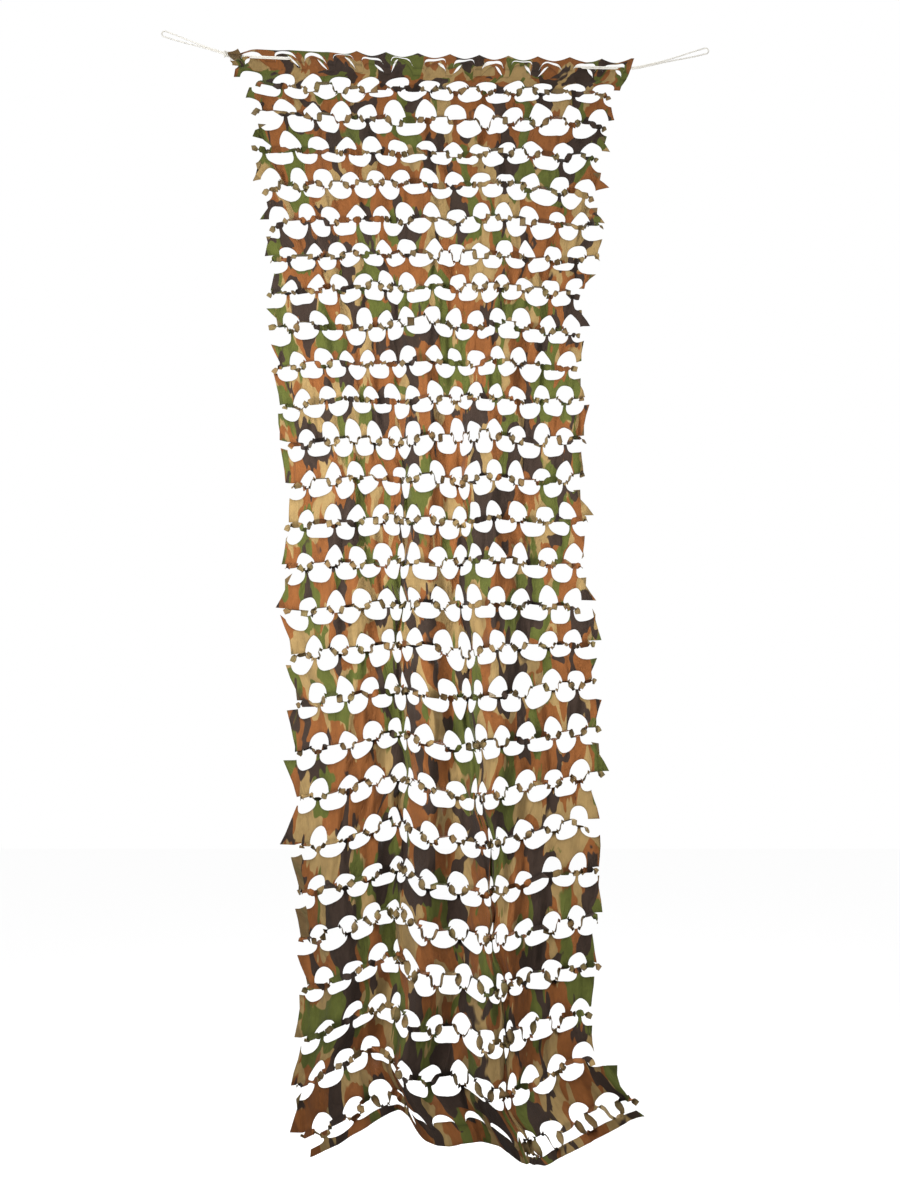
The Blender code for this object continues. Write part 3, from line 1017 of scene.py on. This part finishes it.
def add_tips(net, seam, teeth, down, inner, columns):
    """The tips of a band's whole teeth along one of its seams, where its cuts stand open."""
    tips = {}
    if seam is None or seam["closed"]:
        return tips
    for number, (middle, half) in enumerate(teeth):
        places = [at for at in inner if on_tooth(at, middle, half)]
        whole = len(places) >= 3 and abs(places[-1] - places[0] - 2 * half) < NEAR
        if whole and not is_closed(seam["row"], middle):
            tips[number] = add_tip(net, seam["row"], number, places, columns, down)
    return tips


def add_scroll(net, column, radius, reach):
    """A left end rolled over to the front, so that its reverse shows."""
    before = column
    turns = [pi * k / ROLL_STEPS for k in range(1, ROLL_STEPS + 1)]
    for number, angle in enumerate(turns + [pi] * FLAP_STEPS, 1):
        flap = max(0, number - ROLL_STEPS) / FLAP_STEPS
        out = Vector((-radius * sin(angle) + reach * flap,
                      -radius * (1 - cos(angle)) - FLAP_DEPTH * flap, 0.0))
        length = radius * angle + reach * flap
        line = []
        for down, point in enumerate(column):
            drop = Vector((FLAP_WAVE * sin(down * 2.0), 0.0, FLAP_FALL * flap * (1.0 - down)))
            x, y, edge = net.flat[point]
            line.append(net.point(net.place(point) + out + drop * flap, (x - length, y, edge)))
        net.strip(line, before)
        before = line


def add_tip(net, row, number, places, columns, down):
    """The tip of a tooth, as deep as the ribbons that leave its two sides."""
    tooth = CUTS[row]["upper" if down == 1 else "lower"][number]
    roll, side = tooth["roll"], tooth["side"]
    roots = [columns[at][-1 if down == 1 else 0] for at in places]
    depth = net.points[roots[0]].y
    if not DEPTH_ROOM[0] < depth < DEPTH_ROOM[1]:
        side = 1 if depth < 0 else -1
    sides = []
    for root in roots:
        x, y, edge = net.flat[root]
        line = [root]
        for share in (0.5, 1.0):
            drop = share * LINK_WIDTH
            step = Vector((0.0, side * drop * sin(roll), -down * drop * cos(roll)))
            line.append(net.point(net.place(root) + step, (x, y - down * drop, edge)))
        sides.append(line if down == 1 else line[::-1])
    for first, second in zip(sides, sides[1:]):
        net.strip(first, second)
    return {"left": sides[:2], "right": sides[:-3:-1],
            "roll": side * roll if down == 1 else -side * roll, "loose": tooth["loose"]}


def unit(vector):
    return vector.normalized() if vector.length > 1e-9 else Vector((1.0, 0.0, 0.0))


def bezier(a, b, c, d, t):
    u = 1 - t
    return a * u**3 + b * 3 * u * u * t + c * 3 * u * t * t + d * t**3


def rolled(way, roll, side=1):
    """Direction across a ribbon that runs along way, downwards and then rolled about it."""
    return unit(way.cross(FRONT)) * side * cos(roll) - FRONT * sin(roll)


def folded_sections(start, end):
    """Lines across a ribbon that turns over at two slanting folds, its reverse in between."""
    falling = end[1].z <= start[1].z
    gap = end[1].x - start[1].x
    near = start[1].x + gap * draw.uniform(*FOLD_SHIFT)
    far = end[1].x - gap * draw.uniform(*FOLD_SHIFT)
    places = (near, (near + far) / 2, far) if falling else (far, (near + far) / 2, near)
    first = [Vector((x, p.y, p.z)) for x, p in zip(places, start)]
    second = [Vector((x, p.y, p.z)) for x, p in zip(places, end)]
    stages = ((start, first), (first, second), (second, end))
    depths = [FOLD_DEPTH * draw.choice((-1, -1, 1)) * draw.uniform(*FOLD_SPREAD) for _ in range(2)]
    lines = []
    for number, (stage, share, out, width) in enumerate(FOLD_STEPS):
        depth = depths[0] + (depths[1] - depths[0]) * number / (len(FOLD_STEPS) - 1)
        line = [a.lerp(b, share) + Vector((0.0, depth * out, 0.0)) for a, b in zip(*stages[stage])]
        if width < 1:
            middle = (line[0] + line[2]) / 2
            line = [middle + (point - middle) * width for point in line]
            line[1].y += FOLD_CUP
        lines.append(line)
    return lines


def swept_sections(start, end, ways, rolls, flip, form, longer=1.0):
    """Lines across a ribbon that runs on a smooth curve and turns about it."""
    reaches, bulges, stretch, narrowing, places = SWEEPS[form]
    reach = longer * draw.uniform(*reaches)
    bulge = draw.uniform(*bulges)
    a, d = start[1], end[1]
    gap = (d - a).length
    b, c = a + ways[0] * gap * reach, d - ways[1] * gap * reach
    lines = []
    for t in places:
        u = 1 - t
        way = (b - a) * u * u + (c - b) * 2 * u * t + (d - c) * t * t
        way = unit(Vector((way.x, way.y * FLAT_WAY, way.z)))
        over = (smooth_step((t - SWEPT_TURN[0]) / stretch)
                * smooth_step((SWEPT_TURN[1] - t) / stretch))
        across = rolled(way, rolls[0] + (rolls[1] - rolls[0]) * smooth_step(t) + flip * over)
        out = unit(across.cross(way))
        centre = bezier(a, b, c, d, t) + Vector((0.0, bulge * 4 * t * u, 0.0))
        half = LINK_WIDTH / 2 * (1 - narrowing * (2 * t - 1) ** 4)
        lines.append([centre + across * half * side
                      + out * (LINK_CUP if side == 0 else 0.0) for side in (-1, 0, 1)])
    return lines


def frame_turn(way, across):
    """Rotation of a ribbon whose length runs along way and whose upper edge is at -across."""
    way = unit(way - across * way.dot(across))
    return Matrix((way, across, way.cross(across))).transposed().to_quaternion()


def turned_sections(start, end, ways):
    """Lines across a ribbon whose middle hangs upright with its reverse to the front."""
    going = 1 if end[1].z > start[1].z else -1
    gap = end[1].x - start[1].x
    yaw = draw.uniform(0.0, TURNED_YAW)
    if gap < LINK_WIDTH * cos(yaw):
        yaw = acos(max(TURNED_LEAST, gap / LINK_WIDTH))
    yaw *= draw.choice((-1, 1))
    lean = draw.uniform(*TURNED_LEAN)
    up = Vector((sin(lean), 0.0, cos(lean) * going))
    across = Vector((-going * cos(lean) * cos(yaw), sin(yaw),
                     sin(lean) * cos(yaw)))
    turns = (frame_turn(ways[0], unit(start[2] - start[0])), frame_turn(up, across),
             frame_turn(ways[1], unit(end[2] - end[0])))
    depth = draw.uniform(*TURNED_DEPTH)
    middle = (start[1] + end[1]) / 2 + Vector((gap * about(TURNED_SHIFT), depth,
                                               about(TURNED_RISE)))
    size = draw.uniform(*TURNED_SIZE)
    rise = abs(end[1].z - start[1].z) * TURNED_PULL[0] + TURNED_PULL[1]
    reach = gap * draw.uniform(*TURNED_REACH)
    halves = ((start[1], start[1] + ways[0] * reach, middle - up * rise, middle),
              (middle, middle + up * rise, end[1] - ways[1] * reach, end[1]))
    lines = []
    for t in LINK_PLACES:
        half = 0 if t <= 0.5 else 1
        share = 2 * t - half
        turned = smooth_step((share - half * TURNED_WAIT) / TURNED_SHARE)
        turn = turns[half].slerp(turns[half + 1], turned)
        half_width = size * LINK_WIDTH / 2 * (1 - PATCH_ROUND * (2 * t - 1) ** 2)
        centre = bezier(*halves[half], share)
        line = [centre + turn @ Vector((0.0, half_width * side, 0.0)) for side in (-1, 0, 1)]
        line[1] += turn @ Vector((0.0, 0.0, TURNED_CUP))
        lines.append(line)
    return lines


def link_lines(first, second, start, end, ways):
    """The form that one ribbon takes: turned over, twisted, folded, flat or edge-on."""
    loose = (first["loose"] + second["loose"]) / 2
    ribbon = (start, end, ways, (first["roll"], second["roll"]))
    drop, gap = abs(end[1].z - start[1].z), (end[1] - start[1]).length
    fate = draw.random()
    turned = TURNED_ODDS[0] + TURNED_ODDS[1] * loose
    if fate < turned + LOW_CURLS * (drop > LONG_DROP):
        if drop < LONG_DROP and draw.random() < UPRIGHT_ODDS:
            return turned_sections(start, end, ways)
        least, more, most = CURL_REACH
        longer = min(least + more * max(0.0, LINK_LENGTH / gap - 1), most)
        return swept_sections(*ribbon, pi * draw.choice((-1.0, 1.0)), "curled", longer)
    twisted = turned + TWISTED_ODDS[0] + TWISTED_ODDS[1] * loose
    if fate < twisted:
        return swept_sections(*ribbon, pi * draw.choice((-1.0, 1.0)), "twisted")
    folded = twisted + FOLDED_ODDS
    if fate < folded and end[1].x - start[1].x > LEAST_FOLDED:
        return folded_sections(start, end)
    if fate < folded + FLAT_ODDS * (1 - folded):
        return swept_sections(*ribbon, about(FLAT_TURN), "flat")
    return swept_sections(*ribbon, pi * draw.choice(EDGE_ON), "edge_on")


def add_link(net, first, second):
    """A ribbon from one tooth tip's right side to the next one's left side."""
    (start_line, start_inner), (end_line, end_inner) = first["right"], second["left"]
    start, end = ([net.place(i) for i in line] for line in (start_line, end_line))
    ways = (unit(start[1] - net.place(start_inner[1])), unit(net.place(end_inner[1]) - end[1]))
    lines = link_lines(first, second, start, end, ways)
    flat_start, flat_end = net.flat[start_line[1]], net.flat[end_line[1]]
    before = start_line
    for number, points in enumerate(lines, 1):
        t = number / (len(lines) + 1)
        x, y, _ = [a + (b - a) * t for a, b in zip(flat_start, flat_end)]
        line = [net.point(point, (x, y - LINK_WIDTH / 2 * side, abs(side)))
                for point, side in zip(points, (-1, 0, 1))]
        net.strip(before, line)
        before = line
    net.strip(before, end_line)


def add_tail(net, tip, side):
    """A ribbon end left by the side cut, hanging from one tooth tip."""
    length, fall = draw.uniform(*TAIL_LENGTH), draw.uniform(*TAIL_FALL)
    flip = pi * draw.choice(TAIL_TURNS)
    before, inner = tip["right" if side == 1 else "left"]
    place = net.place(before[1])
    x, y, _ = net.flat[before[1]]
    way = unit(place - net.place(inner[1]))
    half = LINK_WIDTH / 2
    for number in range(1, TAIL_STEPS + 1):
        t = number / TAIL_STEPS
        slope = fall * smooth_step(t * TAIL_HASTE[0])
        heading = unit(Vector((way.x * cos(slope), way.y, -sin(slope))))
        place = place + heading * length / TAIL_STEPS
        roll = tip["roll"] * (1 - t) + flip * smooth_step(t * TAIL_HASTE[1])
        across = rolled(heading, roll, side)
        narrow = 1 - TAIL_NARROW * t * t
        line = [net.point(place + across * half * narrow * s,
                          (x + side * length * t, y - half * s, abs(s))) for s in (-1, 0, 1)]
        if side == 1:
            net.strip(before, line)
        else:
            net.strip(line, before)
        before = line


def build_net():
    net = Mesh()
    roof = {}
    bands = []
    for number in range(len(SEAMS) + 1):
        tips, roof = add_band(net, number, roof)
        bands.append(tips)
    for number, seam in enumerate(SEAMS):
        if seam["closed"]:
            continue
        upper, lower = bands[number]["upper"], bands[number + 1]["lower"]
        tips = sorted([(TEETH[n][0], upper[n]) for n in upper]
                      + [(DOMES[n], lower[n]) for n in lower], key=lambda tip: tip[0])
        for (at, first), (after, second) in zip(tips, tips[1:]):
            if after - at < LINK_REACH:
                add_link(net, first, second)
        add_tail(net, tips[0][1], -1)
        add_tail(net, tips[-1][1], 1)
    return net


def add_object(name, data):
    piece = bpy.data.objects.new(name, data)
    bpy.context.scene.collection.objects.link(piece)
    return piece


def mesh_object(name, points, faces, attribute, places):
    """A mesh in the scene, with a vector of its own at each point."""
    mesh = bpy.data.meshes.new(name)
    mesh.from_pydata([tuple(p) for p in points], [], faces)
    vectors = mesh.attributes.new(attribute, "FLOAT_VECTOR", "POINT")
    vectors.data.foreach_set("vector", [c for place in places for c in place])
    return add_object(name, mesh)


def cloth_object(net):
    """The net as one thin closed sheet, printed in front and plain behind."""
    piece = mesh_object("camouflage_net", net.points, net.faces, "flat_cloth", net.flat)
    piece.data.materials.append(printed_cloth())
    piece.data.materials.append(reverse_cloth())
    thick = piece.modifiers.new("thickness", "SOLIDIFY")
    thick.thickness = CLOTH_THICKNESS
    thick.offset = -1.0
    thick.material_offset = 1
    thick.material_offset_rim = 1
    made = bpy.data.meshes.new_from_object(
        piece.evaluated_get(bpy.context.evaluated_depsgraph_get()))
    made.name = "camouflage_net"
    piece.modifiers.clear()
    piece.data = made
    for polygon in made.polygons:
        polygon.use_smooth = True
    made.set_sharp_from_angle(angle=SHARP_ANGLE)
    return piece


# ---- materials ----


class Nodes:
    """Short calls for one material's node tree."""

    def __init__(self, name):
        self.material = bpy.data.materials.new(name)
        self.material.use_nodes = True
        self.tree = self.material.node_tree
        self.shader = self.tree.nodes["Principled BSDF"]

    def add(self, kind, inputs=(), **settings):
        node = self.tree.nodes.new("ShaderNode" + kind)
        for key, value in settings.items():
            setattr(node, key, value)
        for socket, value in dict(inputs).items():
            if isinstance(value, bpy.types.NodeSocket):
                self.tree.links.new(value, node.inputs[socket])
            else:
                node.inputs[socket].default_value = value
        return node

    def link(self, output, socket):
        self.tree.links.new(output, self.shader.inputs[socket])

    def set(self, values):
        for socket, value in values.items():
            self.shader.inputs[socket].default_value = value

    def maths(self, operation, first, second=0.0, third=0.0):
        return self.add("Math", {0: first, 1: second, 2: third},
                        operation=operation).outputs[0]

    def vectors(self, operation, first, second):
        return self.add("VectorMath", {0: first, 1: second}, operation=operation).outputs[0]

    def cloth_place(self, scale, offset=(0.0, 0.0, 0.0), turn=0.0):
        """The place in the flat cloth, scaled, turned in its plane and moved."""
        place = self.add("Attribute", attribute_name="flat_cloth")
        return self.add("Mapping", {
            "Vector": place.outputs["Vector"], "Scale": (scale[0], scale[1], 0.0),
            "Location": offset, "Rotation": (0.0, 0.0, turn),
        }, vector_type="POINT").outputs["Vector"]

    def noise(self, vector, scale, detail=1.0, roughness=0.5, distortion=0.0):
        return self.add("TexNoise", {
            "Vector": vector, "Scale": scale, "Detail": detail, "Roughness": roughness,
            "Distortion": distortion,
        }).outputs["Fac"]

    def cloth_noise(self, name):
        stretch, offset, *settings = CLOTH_NOISES[name]
        return self.noise(self.cloth_place(stretch, offset), *settings)

    def cut_edge_shade(self):
        """Mask of the painted shade along the cut edges: 1 at a cut edge of the cloth, falling to
        0 a short way in.
        """
        place = self.add("Attribute", attribute_name="flat_cloth")
        parts = self.add("SeparateXYZ", {"Vector": place.outputs["Vector"]})
        return self.maths("POWER", parts.outputs["Z"], EDGE_SHADE_POWER)

    def above(self, value, level, soft):
        """1 where value is over level, with an edge this soft."""
        return self.add("MapRange", {
            "Value": value, "From Min": level - soft, "From Max": level + soft,
        }, clamp=True).outputs["Result"]

    def mix(self, share, first, second, blend="MIX"):
        return self.add("Mix", {0: share, 6: first, 7: second},
                        data_type="RGBA", blend_type=blend).outputs[2]


def colour(hex_code):
    return (*linear(hex_code), 1.0)


def warped(nodes, scale, offset, turn):
    """Cloth coordinates pushed about by noise, so that blots end in points and drips."""
    place = nodes.cloth_place(scale, offset, turn)
    push = nodes.add("TexNoise", {"Vector": place, "Scale": WARP_SCALE, "Detail": 2.0})
    moved = nodes.vectors("SUBTRACT", push.outputs["Color"], (0.5, 0.5, 0.5))
    moved = nodes.vectors("MULTIPLY", moved, (WARP, WARP, 0.0))
    teeth = nodes.noise(nodes.cloth_place(DRIP_SCALE, offset), 1.0, 0.0)
    patches = nodes.noise(nodes.cloth_place(DRIP_PATCHES, (offset[1], offset[0], 0.0)), 1.0)
    drips = nodes.maths("MULTIPLY", nodes.maths("SUBTRACT", teeth, 0.5),
                        nodes.above(patches, DRIP_LEVEL, DRIP_SOFT))
    fall = nodes.add("CombineXYZ", {"Y": nodes.maths("MULTIPLY", drips, DRIP_LENGTH)})
    return nodes.vectors("ADD", nodes.vectors("ADD", place, moved), fall.outputs[0])


def woodland(nodes):
    """Four-colour woodland print: tan under rust, green and dark brown blots."""
    shade = colour(TAN)
    for code, level, scale, offset, turn in PRINT_LAYERS:
        place = warped(nodes, scale, offset, turn)
        blot = nodes.noise(place, 1.0, BLOT_DETAIL, BLOT_ROUGHNESS)
        shade = nodes.mix(nodes.above(blot, level, BLOT_SOFT), shade, colour(code))
    return shade


def weave_bump(nodes):
    """Plain weave with faint slubs and soft wrinkles."""
    place = nodes.cloth_place((1.0, 1.0))
    waves = [nodes.add("TexWave", {"Vector": place, "Scale": WEAVE_SCALE},
                       wave_type="BANDS", bands_direction=way).outputs["Fac"] for way in "XY"]
    height = nodes.maths("MULTIPLY", waves[0], waves[1])
    for name, weight in BUMP_LAYERS:
        height = nodes.maths("MULTIPLY_ADD", nodes.cloth_noise(name), weight, height)
    return nodes.add("Bump", {
        "Strength": BUMP_STRENGTH, "Distance": BUMP_DISTANCE, "Height": height}).outputs["Normal"]


def finish_cloth(nodes, shade, roughness):
    nodes.link(shade, "Base Color")
    nodes.link(weave_bump(nodes), "Normal")
    grain = nodes.cloth_noise("grain")
    nodes.link(nodes.maths("MULTIPLY_ADD", grain, GRAIN, roughness - GRAIN / 2), "Roughness")
    nodes.set({"Sheen Weight": 0.03, "Sheen Roughness": 0.45, "Specular IOR Level": 0.18})
    return nodes.material


def faded_and_edge_shaded(nodes, shade, spread):
    """Slow changes of dye depth over the cloth, small uneven patches of dye, and painted shade
    along the cut edges.
    """
    level = nodes.maths("MULTIPLY_ADD", nodes.cloth_noise("patch"), spread,
                        1 - spread / 2 - FLECK / 2)
    level = nodes.maths("MULTIPLY_ADD", nodes.cloth_noise("fleck"), FLECK, level)
    # painted shade along the cut edges
    level = nodes.maths("MULTIPLY_ADD", nodes.cut_edge_shade(), -EDGE_PAINTED_SHADE, level)
    tint = nodes.add("CombineColor", {0: level, 1: level, 2: level}).outputs[0]
    return nodes.mix(1.0, shade, tint, "MULTIPLY")


def printed_cloth():
    nodes = Nodes("camouflage_print")
    shade = faded_and_edge_shaded(nodes, woodland(nodes), PRINT_FADING)
    return finish_cloth(nodes, shade, PRINT_ROUGHNESS)


def reverse_cloth():
    """The back: raw khaki cloth with the print showing faintly through."""
    nodes = Nodes("camouflage_reverse")
    shade = nodes.mix(REVERSE_BLEED, colour(REVERSE), woodland(nodes))
    return finish_cloth(nodes, faded_and_edge_shaded(nodes, shade, REVERSE_FADING), REVERSE_ROUGHNESS)


def cord_finish():
    """Off-white braid, with painted shade that greys its hollows."""
    nodes = Nodes("white_braid")
    place = nodes.add("Attribute", attribute_name="braid").outputs["Vector"]
    strands = [nodes.add("TexWave", {
        "Vector": nodes.add("Mapping", {"Vector": place, "Rotation": (0, 0, turn)},
                            vector_type="POINT").outputs["Vector"],
        "Scale": BRAID_WAVES}, wave_type="BANDS", bands_direction="X").outputs["Fac"]
        for turn in (BRAID_SLANT, -BRAID_SLANT)]
    weave = nodes.maths("MAXIMUM", strands[0], strands[1])
    # painted shade: grey in the braid's hollows, white on its ridges
    shade = nodes.mix(weave, colour(CORD_HOLLOW_SHADE), colour(CORD_WHITE))
    nodes.link(shade, "Base Color")
    fuzz = nodes.noise(place, FUZZ_SCALE, 3.0)
    height = nodes.maths("MULTIPLY_ADD", fuzz, BRAID_FUZZ, weave)
    nodes.link(nodes.add("Bump", {
        "Strength": BRAID_STRENGTH, "Distance": BRAID_DISTANCE, "Height": height,
    }).outputs["Normal"], "Normal")
    nodes.link(nodes.maths("MULTIPLY_ADD", fuzz, CORD_GRAIN, CORD_ROUGHNESS), "Roughness")
    nodes.set({"Sheen Weight": 0.15})
    return nodes.material


# ---- cord ----


def braided_tube(name, route, sides, lift):
    """A closed tube along a route, its braid raised by lift in crossing spirals."""
    lengths = [0.0]
    for a, b in zip(route, route[1:]):
        lengths.append(lengths[-1] + (b - a).length)
    count = max(8, round(lengths[-1] / BRAID_STEP))
    points, ring_places, rings = [], [], []
    normal = Vector((0.0, 1.0, 0.0))
    segment = 0
    for step in range(count + 1):
        along = lengths[-1] * step / count
        while segment < len(lengths) - 2 and lengths[segment + 1] < along:
            segment += 1
        span = lengths[segment + 1] - lengths[segment]
        share = (along - lengths[segment]) / span
        before, a, b, after = (route[max(0, min(k, len(route) - 1))]
                               for k in range(segment - 1, segment + 3))
        centre = a.lerp(b, share)
        way = unit((b - before).lerp(after - a, share))
        normal = unit(normal - way * normal.dot(way))
        side_way = way.cross(normal)
        ring = []
        for side in range(sides):
            angle = 2 * pi * side / sides
            spiral = 2 * pi * along / BRAID_REPEAT
            ridge = max(cos(4 * angle + spiral), cos(4 * angle - spiral))
            reach = CORD_DIAMETER / 2 + lift * (ridge - BRAID_MEAN)
            points.append(centre + (normal * cos(angle) + side_way * sin(angle)) * reach)
            ring_places.append((4 * angle, spiral, 0.0))
            ring.append(len(points) - 1)
        rings.append(ring)
    faces = [(a[k], a[(k + 1) % sides], b[(k + 1) % sides], b[k])
             for a, b in zip(rings, rings[1:]) for k in range(sides)]
    faces += [tuple(reversed(rings[0])), tuple(rings[-1])]
    piece = mesh_object(name, points, faces, "braid", ring_places)
    for polygon in piece.data.polygons:
        polygon.use_smooth = len(polygon.vertices) == 4
    return piece


# ---- camera, floor and light ----


def add_camera():
    data = bpy.data.cameras.new("camera")
    data.lens = CAMERA_LENS
    data.sensor_width = CAMERA_SENSOR
    camera = add_object("camera", data)
    camera.location = CAMERA_PLACE
    camera.rotation_euler = (radians(90 + CAMERA_RISE), 0.0, 0.0)
    bpy.context.scene.camera = camera


def add_floor():
    """A plain white floor that throws no light back up at the net."""
    mesh = bpy.data.meshes.new("floor")
    half = FLOOR_SIZE / 2
    mesh.from_pydata([(x + CAMERA_PLACE[0], y, FLOOR_HEIGHT)
                      for x, y in ((-half, -half), (half, -half), (half, half), (-half, half))],
                     [], [(0, 1, 2, 3)])
    floor = add_object("floor", mesh)
    nodes = Nodes("floor_white")
    nodes.set({"Base Color": (0.95, 0.95, 0.95, 1.0), "Roughness": 0.9,
               "Specular IOR Level": 0.1})
    mesh.materials.append(nodes.material)
    floor.visible_diffuse = False
    floor.visible_glossy = False


def add_light(name, place, target, size, power):
    data = bpy.data.lights.new(name, "AREA")
    data.shape = "RECTANGLE"
    data.size, data.size_y = size
    data.energy = power
    data.spread = LIGHT_SPREAD
    lamp = add_object(name, data)
    lamp.location = place
    lamp.rotation_euler = (Vector(target) - Vector(place)).to_track_quat("-Z", "Y").to_euler()


def add_sun():
    data = bpy.data.lights.new("floor_sun", "SUN")
    data.energy = FLOOR_SUN
    data.angle = radians(FLOOR_SUN_SPREAD)
    add_object("floor_sun", data)


def add_world():
    """White all round, shedding less light than it shows, so that the lamps shape the folds."""
    world = bpy.data.worlds.new("studio")
    world.use_nodes = True
    tree = world.node_tree
    paths = tree.nodes.new("ShaderNodeLightPath")
    strength = tree.nodes.new("ShaderNodeMapRange")
    strength.inputs["To Min"].default_value = WORLD_GLOW
    strength.inputs["To Max"].default_value = 1.0
    tree.links.new(paths.outputs["Is Camera Ray"], strength.inputs["Value"])
    back = tree.nodes["Background"]
    back.inputs["Color"].default_value = (1.0, 1.0, 1.0, 1.0)
    tree.links.new(strength.outputs["Result"], back.inputs["Strength"])
    bpy.context.scene.world = world


def main():
    add_camera()

    route = cord_route()
    cord = braided_tube("hanging_cord", route, CORD_SIDES, CORD_RIDGE)
    lashing = braided_tube("cord_lashing", knot_route(), KNOT_SIDES, KNOT_RIDGE)
    braid = cord_finish()
    for piece, node in ((cord, "cord"), (lashing, "cord_knot")):
        piece.data.materials.append(braid)
        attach(piece, "root")
        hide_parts(node)

    net = cloth_object(build_net())
    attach(net, "root")
    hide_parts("net")

    add_floor()
    add_world()
    for name, place, target, size, power in LIGHTS:
        add_light(name, place, target, size, power)
    add_sun()
    bpy.context.scene.view_settings.view_transform = "Standard"


main()
